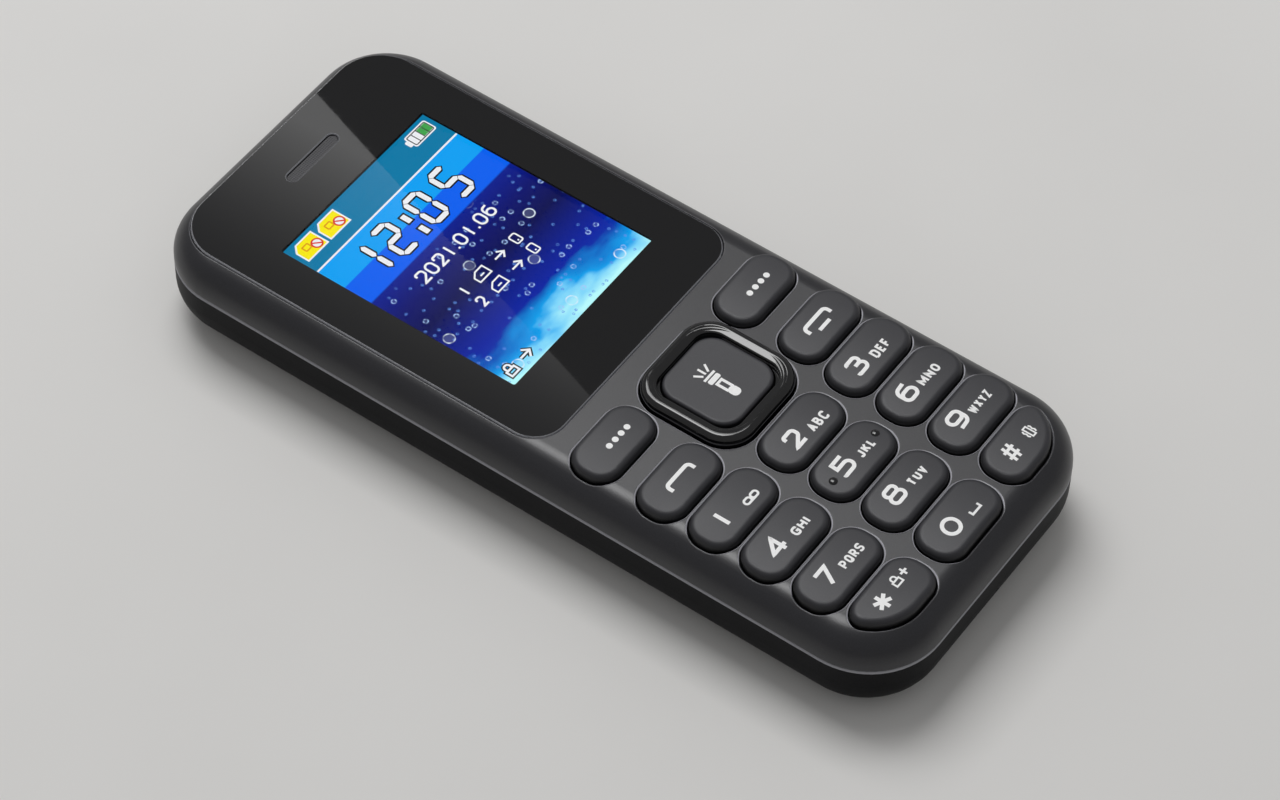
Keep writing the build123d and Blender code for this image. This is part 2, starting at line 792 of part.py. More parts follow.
def make_light_guide():
    """Clear tray over the domes, standing on its rim, with a hole for each plunger."""
    solid = prism(keypad_outline(0), board_top + film_thickness, guide_top)
    solid -= prism(keypad_outline(guide_rim), board_top, guide_top - guide_thickness)
    solid -= [post(key.x, key.y, plunger_radius + guide_bore_gap, 0, body_thickness) for key in list_keys()]
    solid -= [post(x, y, ring_plunger_radius + guide_bore_gap, 0, body_thickness) for x, y in ring_places()]
    opening = select_flange_size + 2 * guide_bore_gap
    solid -= block(0, nav_y, opening, opening, 0, body_thickness)
    return solid


def make_keypad_leds():
    """Small lamps on the board that light the guide."""
    return [block(x, y, lamp_width, lamp_length, board_top, board_top + lamp_thickness)
            for x, y in lamp_places()]


def make_key(key):
    """Cap with a low crown, side tabs that hold it under the face, and a plunger."""
    top = body_thickness + key_rise
    solid = prism(key_outline(key, key_gap), tab_bottom, top)
    crown = Rot(90, 0, 0) * Cylinder(key_crown_radius, 2 * row_pitch)
    solid &= Pos(key.x, key.y, top - key_crown_radius) * crown
    middle = (tab_bottom + top) / 2
    solid = fillet([edge for edge in solid.edges() if edge.bounding_box().min.Z > middle], key_edge_radius)
    tabs = key_outline(key, key_gap - tab_length) & Pos(key.x, key.y) * Rectangle(2 * key.width, tab_width)
    solid += prism(tabs, tab_bottom, tab_top)
    solid += post(key.x, key.y, plunger_radius, plunger_tip, tab_bottom)
    return solid


def make_nubs(key):
    """Two raised dots that mark the middle key for the fingertips."""
    top = body_thickness + key_rise
    sink = nub_spread ** 2 / (2 * key_crown_radius)
    return [Pos(key.x + side * nub_spread, key.y, top - sink + nub_rise - nub_radius) * Sphere(nub_radius)
            for side in (-1, 1)]


def make_nav_ring():
    """Glossy rocking ring with a lower inner step, four corner lugs and four plungers."""
    top = body_thickness + ring_rise
    step = ring_opening + 2 * ring_step_width
    solid = prism(ring_outline(ring_size, ring_hole_radius - ring_gap), ring_bottom, top)
    step_outline = ring_outline(step, ring_opening_radius + ring_step_width)
    solid -= prism(step_outline, top - ring_step_drop, top + cut_margin)
    rim = solid.edges().group_by(Axis.Z)[-1]
    solid = fillet([edge for edge in rim if not inside_square(edge, step)], ring_outer_round)
    rim = solid.edges().group_by(Axis.Z)[-1]
    solid = fillet([edge for edge in rim if inside_square(edge, step)], ring_inner_round)
    solid -= prism(ring_outline(ring_opening, ring_opening_radius), 0, top + cut_margin)
    corner = ring_size / 2 - (ring_hole_radius - ring_gap) * (1 - math.sqrt(0.5))
    for side_x in (-1, 1):
        for side_y in (-1, 1):
            solid += post(side_x * corner, nav_y + side_y * corner, lug_radius, ring_bottom, lug_top)
    return solid + [post(x, y, ring_plunger_radius, plunger_tip, lug_top) for x, y in ring_places()]


def inside_square(edge, size):
    """Whether an edge lies within a square about the navigation centre."""
    box = edge.bounding_box()
    reach = max(abs(box.min.X), abs(box.max.X), abs(box.min.Y - nav_y), abs(box.max.Y - nav_y))
    return reach < size / 2 + touch_gap


def make_nav_seat():
    """Soft ring that the navigation ring rocks on, notched round the plungers."""
    solid = prism(ring_outline(ring_size, ring_hole_radius - ring_gap), seat_bottom, seat_top)
    solid -= block(0, nav_y, seat_opening, seat_opening, 0, body_thickness)
    notch = 2 * (ring_plunger_radius + seat_plunger_gap)
    for x, y in ring_places():
        reach_x = x + math.copysign(ring_plunger_spread, x) / 2 if x else 0
        reach_y = y + math.copysign(ring_plunger_spread, y - nav_y) / 2 if not x else y
        solid -= post(x, y, notch / 2, 0, body_thickness)
        width = ring_plunger_spread if x else notch
        length = notch if x else ring_plunger_spread
        solid -= block(reach_x, reach_y, width, length, 0, body_thickness)
    return solid


def make_select_key():
    """Middle key: square cap, narrower stem, flange under the seat and a plunger."""
    size = ring_opening - 2 * select_gap
    cap = ring_outline(size, ring_opening_radius - select_gap)
    solid = prism(cap, select_shoulder, body_thickness + select_rise)
    solid = fillet(solid.edges().group_by(Axis.Z)[-1], select_edge_radius)
    solid += block(0, nav_y, select_stem_size, select_stem_size, select_flange_bottom, select_shoulder)
    solid += block(0, nav_y, select_flange_size, select_flange_size, select_flange_bottom, select_flange_top)
    return solid + post(0, nav_y, plunger_radius, plunger_tip, select_flange_bottom)


def make_battery_pack():
    """Flat cell with rounded corners and pockets for its terminals."""
    solid = battery_block(0, battery_bottom, battery_top)
    rims = solid.edges().group_by(Axis.Z)[-1] + solid.edges().group_by(Axis.Z)[0]
    solid = fillet(rims, battery_edge)
    return solid - make_battery_terminals()


def terminal_places():
    """Places across the battery of its three terminals."""
    return [index * terminal_pitch for index in (-1, 0, 1)]


def make_battery_terminals():
    """Three flat plates in the battery's lower end face."""
    return [block(x, battery_end + terminal_thickness / 2, terminal_width, terminal_thickness,
                  terminal_rise - terminal_length / 2, terminal_rise + terminal_length / 2)
            for x in terminal_places()]


def make_battery_connector():
    """Plastic block on the board with a slot for each sprung contact."""
    middle = (connector_front + connector_back) / 2
    solid = block(0, middle, connector_width, connector_length, connector_bottom, board_bottom)
    start = pin_start() - pin_travel - fit_gap
    end = connector_front + cut_margin
    reach = pin_height / 2 + pin_slot_gap
    for x in terminal_places():
        solid -= block(x, (start + end) / 2, pin_width + 2 * pin_slot_gap, end - start,
                       terminal_rise - reach, terminal_rise + reach)
    return solid


def pin_start():
    """Hidden end of the sprung contacts."""
    return battery_end - touch_gap - pin_length


def make_contact_pins():
    """Three sprung contacts that press on the battery's terminals."""
    return [block(x, pin_start() + pin_length / 2, pin_width, pin_length,
                  terminal_rise - pin_height / 2, terminal_rise + pin_height / 2)
            for x in terminal_places()]


def card_holder(x, y, width, length):
    """Flat metal holder under the board with a slot that opens towards the battery side."""
    solid = block(x, y, width, length, board_bottom - sim_thickness, board_bottom)
    depth = length - slot_depth_margin
    middle = board_bottom - sim_thickness / 2
    return solid - block(x, y - slot_depth_margin, width - 2 * slot_depth_margin, depth,
                         middle - slot_mouth / 2, middle + slot_mouth / 2)


def make_sim_holders():
    """Two card holders side by side."""
    return [card_holder(side * sim_spread, sim_y, sim_width, sim_length) for side in (-1, 1)]


def make_memory_card_slot():
    """Smaller holder at the bottom end."""
    return card_holder(card_slot_x, card_slot_y, card_slot_width - 2 * fit_gap, card_slot_length)


def make_loudspeaker():
    """Round loudspeaker on its mesh, facing the back."""
    bottom = rear_skin_top + speaker_mesh_thickness
    solid = post(speaker_x, speaker_y, speaker_radius, bottom, bottom + speaker_thickness)
    return chamfer(solid.edges().group_by(Axis.Z)[-1], housing_inner_radius)


def make_loudspeaker_mesh():
    """Cloth disc over the sound holes."""
    radius = sound_ring_radius + 2 * sound_hole_radius
    return post(speaker_x, speaker_y, radius, rear_skin_top, rear_skin_top + speaker_mesh_thickness)


def motor_height():
    """Height of the motor's axis, just under the board."""
    return board_bottom - motor_radius - touch_gap


def make_vibration_motor():
    """Small round motor, bored for its shaft."""
    end = motor_left + motor_length
    solid = cross_rod(motor_y, motor_height(), motor_radius, motor_left, end)
    bore = motor_shaft_radius + motor_shaft_clearance
    return solid - cross_rod(motor_y, motor_height(), bore, motor_left + cut_margin, end + cut_margin)


def make_motor_holder():
    """Rubber block between the motor and the housing."""
    middle = motor_left + motor_length / 2
    solid = block(middle, motor_y, holder_length, holder_width, rear_skin_top, board_bottom)
    return solid - cross_rod(motor_y, motor_height(), motor_radius, motor_left, motor_left + motor_length)


def make_motor_weight():
    """Off-centre weight on the motor's shaft."""
    shaft_start = motor_left + cut_margin + motor_shaft_clearance
    start = motor_left + motor_length + weight_gap
    end = weight_end
    height = motor_height()
    weight = cross_rod(motor_y, height, weight_radius, start, end)
    upper = height + motor_shaft_radius
    weight -= block((start + end) / 2, motor_y, weight_length + cut_margin, 2 * weight_radius + cut_margin,
                    upper, upper + weight_radius)
    return weight + cross_rod(motor_y, height, motor_shaft_radius, shaft_start, end)


def make_microphone():
    """Small microphone can under the board."""
    return block(0, microphone_y, microphone_width, microphone_length,
                 board_bottom - microphone_thickness, board_bottom)


def make_mic_boot():
    """Rubber boot that leads sound from the end wall to the microphone."""
    width = microphone_width + 2 * microphone_boot_wall
    start = microphone_y - microphone_length / 2 - microphone_boot_wall
    end = microphone_y + microphone_length / 2 + microphone_boot_wall
    bottom = board_bottom - microphone_boot_depth
    solid = block(0, (start + end) / 2, width, end - start, bottom, board_bottom)
    solid -= make_microphone()
    solid -= lying_rod(0, microphone_hole_height, microphone_hole_radius, start - cut_margin, microphone_y)
    return solid - post(0, microphone_y, microphone_hole_radius, microphone_hole_height, board_bottom)


def make_audio_jack():
    """Jack body let into the board. Its nose fills the end wall's slot up to the seam."""
    body = Box(jack_width, jack_length, jack_thickness)
    solid = Pos(jack_x, jack_back + jack_length / 2, jack_height) * body
    start = jack_back + jack_length
    nose = block(jack_x, (start + jack_face) / 2, jack_nose_width, jack_face - start,
                 jack_nose_bottom, seam_height)
    lower = nose.edges().filter_by(Axis.Y).group_by(Axis.Z)[0]
    solid += fillet(lower, jack_nose_corner)
    bore_start = jack_face - jack_bore_length
    return solid - lying_rod(jack_x, jack_height, jack_bore_radius, bore_start, jack_face + cut_margin)


def make_usb_socket():
    """Steel shell of the charging socket, open at the end wall."""
    start = socket_face - usb_length
    return usb_block(0, start, socket_face) - usb_block(-usb_wall, start + usb_wall, socket_face + cut_margin)


def make_usb_tongue():
    """Contact tongue inside the charging socket."""
    start = socket_face - usb_length + usb_wall
    tongue = Box(tongue_width, tongue_length, tongue_thickness)
    return Pos(usb_x, start + tongue_length / 2, usb_height) * tongue


def make_torch_led():
    """Torch lamp in the board's end notch."""
    return lying_rod(0, torch_height, torch_lamp_radius, rear_inner_end - torch_lamp_length, rear_inner_end)


def make_torch_lens():
    """Clear window at the top end in front of the torch lamp."""
    end = half_length - torch_lens_setback
    return slot_prism(0, torch_height, torch_lens_radius, rear_inner_end, end, seam_height)


def make_antenna():
    """Metal strip on two legs over the board's top end."""
    top = board_top + antenna_rise
    solid = block(jack_x, antenna_y, antenna_width, antenna_length, top - antenna_thickness, top)
    for side in (-1, 1):
        x = jack_x + side * (antenna_width - antenna_thickness) / 2
        solid += block(x, antenna_y, antenna_thickness, antenna_length, board_top, top)
    return solid


def make_housing_screws():
    """Screws from the back through both housings, heads sunk in the rear one."""
    screws = []
    for x, y in screw_places():
        head = post(x, y, screw_head_radius, head_seat_level - screw_head_thickness, head_seat_level)
        shank = post(x, y, screw_radius, head_seat_level, plate_underside - screw_end_gap)
        screws.append(head + shank)
    return screws


def write_node(name, solids):
    """Write one node, either one solid or a group of separate ones."""
    if isinstance(solids, (list, tuple)):
        solids = Compound(children=list(solids))
    export_step(solids, f"parts/{name}.step")


def main():
    """Build every node and write it."""
    os.makedirs("parts", exist_ok=True)
    makers = [make_front_housing, make_rear_housing, make_rear_cover, make_screen_lens,
              make_lens_adhesive, make_earpiece_mesh, make_earpiece_speaker, make_lcd_gasket,
              make_lcd_panel, make_lcd_frame, make_lcd_flex, make_main_board, make_shield_can,
              make_key_domes, make_dome_film, make_light_guide, make_keypad_leds, make_nav_ring,
              make_nav_seat, make_select_key, make_battery_pack, make_battery_terminals,
              make_battery_connector, make_contact_pins, make_sim_holders, make_memory_card_slot,
              make_loudspeaker, make_loudspeaker_mesh, make_vibration_motor, make_motor_holder,
              make_motor_weight, make_microphone, make_mic_boot, make_audio_jack, make_usb_socket,
              make_usb_tongue, make_torch_led, make_torch_lens, make_antenna, make_housing_screws]
    for maker in makers:
        write_node(maker.__name__.removeprefix("make_"), maker())
    for key in list_keys():
        solid = make_key(key)
        if key.name == "key_5":
            solid += make_nubs(key)
        write_node(key.name, solid)


main()
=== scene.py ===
"""Looks of a small keypad phone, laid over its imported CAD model.

Every piece stands in the CAD model's frame: X runs across the phone, Y from the keys towards the
earpiece and Z from the back to the front. Shapes are worked out in millimetres and put into their
meshes in metres.
"""

import logging
import math
from dataclasses import dataclass, replace
from enum import Enum
from typing import Callable, ClassVar

import bpy
import numpy as np
from bpy.types import Material, Node, NodeSocket, Object, World
from mathutils import Matrix, Vector


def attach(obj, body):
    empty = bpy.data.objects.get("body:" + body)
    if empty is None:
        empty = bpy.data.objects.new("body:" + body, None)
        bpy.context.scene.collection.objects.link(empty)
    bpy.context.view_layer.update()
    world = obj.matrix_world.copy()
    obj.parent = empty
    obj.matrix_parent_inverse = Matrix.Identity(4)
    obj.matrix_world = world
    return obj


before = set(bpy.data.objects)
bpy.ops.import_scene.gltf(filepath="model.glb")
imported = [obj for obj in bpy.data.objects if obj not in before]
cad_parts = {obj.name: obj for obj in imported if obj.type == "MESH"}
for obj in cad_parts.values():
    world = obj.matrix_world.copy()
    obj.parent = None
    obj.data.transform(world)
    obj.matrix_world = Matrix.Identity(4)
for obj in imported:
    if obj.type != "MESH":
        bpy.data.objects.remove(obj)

MM = 0.001
ORIGIN = (0.0, 0.0, 0.0)
LENS_TOP = 13.5
PICTURE_MIDDLE = (0.3, 22.65)
log = logging.getLogger("keypad_phone")

Level = Callable[[np.ndarray], np.ndarray]
Part = tuple[np.ndarray, list]
Value = float | NodeSocket
Triple = tuple[float, float, float]
Pitch = float | Triple


# ---------------------------------------------------------------- colour and shader nodes

def linear(colour: str) -> tuple[float, float, float, float]:
    """Turns an sRGB hex colour to linear light.

    Args:
        colour: the colour as "#rrggbb".

    Returns:
        Red, green, blue and an alpha of 1.
    """
    srgb = np.array([int(colour[at:at + 2], 16) for at in (1, 3, 5)]) / 255
    light = np.where(srgb <= 0.04045, srgb / 12.92, ((srgb + 0.055) / 1.055) ** 2.4)
    return (*light.tolist(), 1.0)


class Nodes:
    """The shader nodes of one material or world.

    A value may be a number, which sets an input, or a socket, which feeds it. Lengths are in
    millimetres.
    """

    def __init__(self, owner: Material | World) -> None:
        """Starts with an empty tree.

        Args:
            owner: the material or the world that the nodes belong to.
        """
        owner.use_nodes = True
        self.tree = owner.node_tree
        self.tree.nodes.clear()

    def add(self, kind: str, settings: dict | None = None) -> Node:
        """Adds a node with its settings and its links.

        Args:
            kind: the node's type without its "ShaderNode" beginning.
            settings: values by name. A property of the node takes its value, and any other name
                or number is an input, which takes a number or is fed by a socket.

        Returns:
            The new node.
        """
        node = self.tree.nodes.new("ShaderNode" + kind)
        for name, value in (settings or {}).items():
            if isinstance(value, NodeSocket):
                self.tree.links.new(value, node.inputs[name])
            elif isinstance(name, str) and hasattr(node, name):
                setattr(node, name, value)
            else:
                node.inputs[name].default_value = value
        return node

    def place(self, pitch: Pitch, centre: Triple = ORIGIN, turn: float = 0.0) -> NodeSocket:
        """Object coordinates counted in pitches of a pattern: (place - centre) / pitch.

        Args:
            pitch: one pitch, or one for each axis.
            centre: the pattern's own origin.
            turn: turn of the pattern about Z, in degrees.

        Returns:
            The socket of the counted place.
        """
        steps = pitch if isinstance(pitch, tuple) else (pitch,) * 3
        return self.add("Mapping", {
            "vector_type": "TEXTURE", "Vector": self.add("TexCoord").outputs["Object"],
            "Location": [value * MM for value in centre],
            "Rotation": (0, 0, math.radians(turn)),
            "Scale": [value * MM for value in steps]}).outputs["Vector"]

    def axis(self, name: str, vector: NodeSocket | None = None) -> NodeSocket:
        """One coordinate of a vector.

        Args:
            name: X, Y or Z.
            vector: the vector; left out, it is the place on the object in metres.

        Returns:
            The socket of the coordinate.
        """
        source = self.add("TexCoord").outputs["Object"] if vector is None else vector
        return self.add("SeparateXYZ", {0: source}).outputs[name]

    def noise(self, pitch: Pitch, detail: float, centre: Triple = ORIGIN, turn: float = 0.0,
              roughness: float = 0.5) -> NodeSocket:
        """Cloudy noise.

        Args:
            pitch: size of a cloud, or one for each axis.
            detail: how many finer layers lie over it.
            centre: the pattern's own origin.
            turn: turn of the pattern about Z, in degrees.
            roughness: weight of each finer layer.

        Returns:
            The socket of its value, from 0 to 1.
        """
        return self.add("TexNoise", {"Scale": 1.0, "Detail": detail, "Roughness": roughness,
                                     "Vector": self.place(pitch, centre, turn)}).outputs["Fac"]

    def cells(self, pitch: Pitch, settings: dict | None = None) -> Node:
        """A pattern of random cells.

        Args:
            pitch: size of a cell, or one for each axis.
            settings: what differs from plain random cells.

        Returns:
            The pattern's node.
        """
        return self.add("TexVoronoi", {**(settings or {}), "Scale": 1.0,
                                       "Vector": self.place(pitch)})

    def bands(self, axis: str, pitch: float) -> NodeSocket:
        """Even bands across an axis. At a scale of one half, the wave pattern has a band every
        pi / 5, so places counted in pitches of pi / 2 give bands about one pitch apart.

        Args:
            axis: X or Y.
            pitch: distance of two bands.

        Returns:
            The socket of their value, from 0 to 1.
        """
        return self.add("TexWave", {"bands_direction": axis, "Scale": 0.5,
                                    "Vector": self.place(pitch * math.pi / 2)}).outputs["Fac"]

    def math(self, operation: str, *values: Value) -> NodeSocket:
        """One step of arithmetic.

        Args:
            operation: the step, by its name in the math node.
            values: what goes into it, in order.

        Returns:
            The socket of the result.
        """
        return self.add("Math", {"operation": operation, **dict(enumerate(values))}).outputs[0]

    def spread(self, source: Value, low: float, high: float, start: float = 0.0,
               end: float = 1.0) -> NodeSocket:
        """Maps a value from start..end to low..high and clamps it.

        Args:
            source: the value.
            low: result at start.
            high: result at end.
            start: value that gives low.
            end: value that gives high.

        Returns:
            The socket of the result.
        """
        return self.add("MapRange", {"Value": source, "From Min": start, "From Max": end,
                                     "To Min": low, "To Max": high}).outputs["Result"]

    def blend(self, share: Value, first: str | NodeSocket, second: str | NodeSocket) -> NodeSocket:
        """Mixes two colours.

        Args:
            share: share of the second colour.
            first: a hex colour or a colour socket.
            second: a hex colour or a colour socket.

        Returns:
            The socket of the mixed colour.
        """
        ends = {place: linear(colour) if isinstance(colour, str) else colour
                for place, colour in ((6, first), (7, second))}
        return self.add("Mix", {"data_type": "RGBA", 0: share, **ends}).outputs[2]

    def edges(self, radius: float) -> NodeSocket:
        """Share from 0 on open faces to 1 on edges, as the dot product of the rounded normal and
        the plain one falls from 0.995 to 0.90.

        Args:
            radius: how far from an edge it reaches.

        Returns:
            The socket of the share.
        """
        rounded = self.add("Bevel", {"samples": 4, "Radius": radius * MM}).outputs["Normal"]
        dot = self.add("VectorMath", {"operation": "DOT_PRODUCT", 0: rounded,
                                      1: self.add("NewGeometry").outputs["Normal"]})
        return self.spread(dot.outputs["Value"], 0.0, 1.0, 0.995, 0.90)

    def bump(self, height: Value, strength: float, depth: float,
             normal: NodeSocket | None = None) -> NodeSocket:
        """Normals of a relief.

        Args:
            height: height of the relief, from 0 to 1.
            strength: how much of it shows.
            depth: what a height of 1 stands for.
            normal: normals of the surface under it; left out, they are the mesh's own.

        Returns:
            The socket of the normals.
        """
        under = {} if normal is None else {"Normal": normal}
        return self.add("Bump", {"Strength": strength, "Distance": depth * MM, "Height": height,
                                 **under}).outputs["Normal"]


# ---------------------------------------------------------------- finishes

@dataclass(frozen=True)
class Finish:
    """What every finish has: a name, a colour, a roughness and an index of refraction."""

    name: str
    colour: str = "#000000"
    roughness: float = 0.5
    ior: float = 1.5

    def material(self) -> Material:
        """Makes the Blender material from the finish's own shader nodes."""
        made = bpy.data.materials.new(self.name)
        nodes = Nodes(made)
        nodes.add("OutputMaterial", {"Surface": self.shade(nodes).outputs[0]})
        return made

    def shade(self, nodes: Nodes) -> Node:
        """Adds the finish's nodes and returns its shader."""
        raise NotImplementedError

    def surface(self, nodes: Nodes, tone: NodeSocket | tuple, relief: NodeSocket | None = None,
                settings: dict | None = None) -> Node:
        """Adds the shader of a surface with the finish's roughness and index of refraction.

        Args:
            nodes: the material's nodes.
            tone: its colour, as a socket or in linear light.
            relief: normals of its relief, where it has one.
            settings: further inputs, which may replace the finish's own.

        Returns:
            The shader.
        """
        inputs = {"Base Color": tone, "Roughness": self.roughness, "IOR": self.ior}
        if relief is not None:
            inputs["Normal"] = relief
        return nodes.add("BsdfPrincipled", inputs | (settings or {}))


@dataclass(frozen=True)
class MouldedPlastic(Finish):
    """ABS and PC blends moulded against a spark-eroded tool: an even fine grain that breaks up
    reflections, tone clouded a little by handling, and edges lighter in patches, partly rubbed wear
    and partly a painted highlight."""

    grain: float = 0.16
    depth: float = 0.006
    cloud: float = 9.0
    rubbed: str = "#4a4a4e"
    # edge: colour that the edges turn to in patches; rubbed wear, and with the light values of
    # FRONT and COVER also a painted highlight
    edge: str = "#55555a"
    # rub: reach of the rounded edges and of the edge tone, which is partly wear and partly a
    # painted highlight
    rub: float = 0.3
    specular: float = 0.5

    def shade(self, nodes: Nodes) -> Node:
        """Grain in the bump, clouds in tone and roughness, a lighter tone on the edges that is
        partly wear and partly a painted highlight.
        """
        grain = nodes.noise(self.grain, 2.0, roughness=0.6)
        cloud = nodes.noise(self.cloud, 3.0)
        rough = nodes.spread(cloud, self.roughness - 0.04, self.roughness + 0.05)
        softened = nodes.add("Bevel", {"samples": 6, "Radius": self.rub * MM}).outputs["Normal"]
        relief = nodes.bump(grain, 0.6, self.depth, softened)
        return self.surface(nodes, self.tone(nodes, grain, cloud), relief,
                            {"Roughness": rough, "Specular IOR Level": self.specular})

    def tone(self, nodes: Nodes, grain: NodeSocket, cloud: NodeSocket) -> NodeSocket:
        """Colour of the plastic, with rubbed specks and with edges that are lighter in patches:
        partly wear, partly a painted highlight.

        Args:
            nodes: the material's nodes.
            grain: the fine noise that gives the specks.
            cloud: the coarse noise that gives the patches.

        Returns:
            The socket of the colour.
        """
        # edge tone in patches: partly wear, partly a painted highlight
        edge_wear_and_highlight = nodes.math("MULTIPLY", nodes.edges(self.rub), cloud)
        speck = nodes.spread(grain, 0.0, 0.16, 0.35, 0.7)
        return nodes.blend(edge_wear_and_highlight, nodes.blend(speck, self.colour, self.rubbed), self.edge)


@dataclass(frozen=True)
class RimHighlightPlastic(MouldedPlastic):
    """Moulded plastic with a painted highlight on its finest chamfers: thin light lines along the
    rims.
    """

    # rim: colour of the painted highlight along the rims
    rim: str = "#d2d2da"
    rim_low: float = 13.33
    rim_high: float = 13.52

    LEAN: ClassVar[float] = 0.7
    LEAN_SPAN: ClassVar[float] = 0.12

    def tone(self, nodes: Nodes, grain: NodeSocket, cloud: NodeSocket) -> NodeSocket:
        """The moulded tone with a painted highlight: lighter where a face between two heights leans
        by about 45 degrees, so that the Z of its normal is close to LEAN."""
        middle, half = (self.rim_low + self.rim_high) / 2, (self.rim_high - self.rim_low) / 2
        high = nodes.math("COMPARE", nodes.axis("Z"), middle * MM, half * MM)
        facing = nodes.axis("Z", nodes.add("NewGeometry").outputs["True Normal"])
        leaning = nodes.math("COMPARE", facing, self.LEAN, self.LEAN_SPAN)
        # painted highlight where the height mask and the lean mask meet
        both = nodes.math("MULTIPLY", high, leaning)
        return nodes.blend(both, super().tone(nodes, grain, cloud), self.rim)


@dataclass(frozen=True)
class KeyCapWithPaintedShade(MouldedPlastic):
    """PC key cap under a matte spray coat. Its side walls carry painted shade: the tone darkens
    almost to black from the crown down to the key's foot."""

    # side: colour of the painted shade on the side walls
    side: str = "#0b0b0c"
    crown: float = 14.45
    foot: float = 13.55

    def tone(self, nodes: Nodes, grain: NodeSocket, cloud: NodeSocket) -> NodeSocket:
        """The moulded tone with painted shade, darkened by height from the crown down to the key's
        foot.
        """
        # painted shade: full at the foot, none at the crown
        low = nodes.spread(nodes.axis("Z"), 1.0, 0.0, self.foot * MM, self.crown * MM)
        return nodes.blend(low, super().tone(nodes, grain, cloud), self.side)


@dataclass(frozen=True)
class PolishedPlastic(Finish):
    """Piano-black ABS or PC from a lapped tool: deep gloss, with the slight orange peel that bends
    long highlights and a haze of fine rub marks."""

    peel: float = 2.6
    depth: float = 0.004
    marks: Triple = (0.12, 1.9, 0.4)
    marked: str = "#111113"
    haze: float = 0.08

    def shade(self, nodes: Nodes) -> Node:
        """Long soft waves in the bump, fine rub marks in the roughness."""
        marks = nodes.noise(self.marks, 4.0, turn=35)
        rough = nodes.spread(marks, self.roughness, self.roughness + self.haze, 0.5, 0.8)
        relief = nodes.bump(nodes.noise(self.peel, 1.0), 0.35, self.depth)
        tone = nodes.blend(marks, self.colour, self.marked)
        return self.surface(nodes, tone, relief, {"Roughness": rough})


@dataclass(frozen=True)
class PrintedInk(Finish):
    """Two-pack pad-printing ink: an even, slightly chalky film whose tone varies by a shade
    where the pad laid it thinner."""

    thin: str = "#dededc"
    mottle: float = 0.22
    depth: float = 0.002

    def shade(self, nodes: Nodes) -> Node:
        """Fine mottle in tone and bump."""
        mottle = nodes.noise(self.mottle, 3.0)
        tone = nodes.blend(nodes.spread(mottle, 0.0, 0.5, 0.45, 0.85), self.colour, self.thin)
        return self.surface(nodes, tone, nodes.bump(mottle, 0.3, self.depth))


@dataclass(frozen=True)
class ClearPlastic(Finish):
    """Cast PMMA or PC with polished faces: clear, with the faint wiping marks that show only
    in a reflection. An anti-reflective coat acts as a lower index of refraction."""

    wiping: Triple = (0.3, 5.0, 1.0)
    haze: float = 0.01

    def shade(self, nodes: Nodes) -> Node:
        """Full transmission, wiping marks in the roughness."""
        rough = nodes.spread(nodes.noise(self.wiping, 3.0, turn=-28), self.roughness,
                             self.roughness + self.haze, 0.55, 0.8)
        return self.surface(nodes, linear(self.colour),
                            settings={"Roughness": rough, "Transmission Weight": 1.0})


@dataclass(frozen=True)
class FrostedPlastic(Finish):
    """Milky PC light guide or silicone: light goes in and comes out spread, so it looks soft."""

    grain: float = 0.4
    depth: float = 0.01
    milk: str = "#f4f4ee"
    clear: float = 0.45

    def shade(self, nodes: Nodes) -> Node:
        """Part transmission over a fine moulded grain."""
        grain = nodes.noise(self.grain, 2.0)
        return self.surface(nodes, nodes.blend(grain, self.colour, self.milk),
                            nodes.bump(grain, 0.4, self.depth), {"Transmission Weight": self.clear})


@dataclass(frozen=True)
class SheetMetal(Finish):
    """Cold-rolled steel strip, tin plated and pressed: fine rolling lines in one direction, which
    stretch highlights across them."""

    dull: str = "#8d9094"
    line: float = 0.09
    run: float = 7.0
    depth: float = 0.003

    def shade(self, nodes: Nodes) -> Node:
        """Rolling lines, one line apart and one run long, in tone, roughness and bump."""
        lines = nodes.noise((self.run, self.line, 1.0), 2.0)
        rough = nodes.spread(lines, self.roughness - 0.06, self.roughness + 0.1)
        return self.surface(nodes, nodes.blend(lines, self.colour, self.dull),
                            nodes.bump(lines, 0.3, self.depth),
                            {"Roughness": rough, "Metallic": 1.0})


@dataclass(frozen=True)
class SolderMask(Finish):
    """FR-4 board under green solder mask: etched tracks show as lighter lines, and tinned vias as
    small bright dots."""

    track: str = "#2f7d47"
    plated: str = "#c8b06a"
    pitch: float = 1.27
    via_pitch: float = 2.54
    depth: float = 0.02

    def shade(self, nodes: Nodes) -> Node:
        """Edges of long cells for tracks, middles of larger round cells for vias."""
        fields = nodes.cells((self.pitch, self.pitch * 3, 50.0),
                             {"feature": "DISTANCE_TO_EDGE", "Randomness": 0.55})
        tracks = nodes.spread(fields.outputs["Distance"], 1.0, 0.0, 0.04, 0.07)
        vias = nodes.cells(self.via_pitch, {"Randomness": 0.9}).outputs["Distance"]
        tone = nodes.blend(tracks, self.colour, self.track)
        tone = nodes.blend(nodes.spread(vias, 1.0, 0.0, 0.09, 0.11), tone, self.plated)
        return self.surface(nodes, tone, nodes.bump(tracks, 0.5, self.depth))


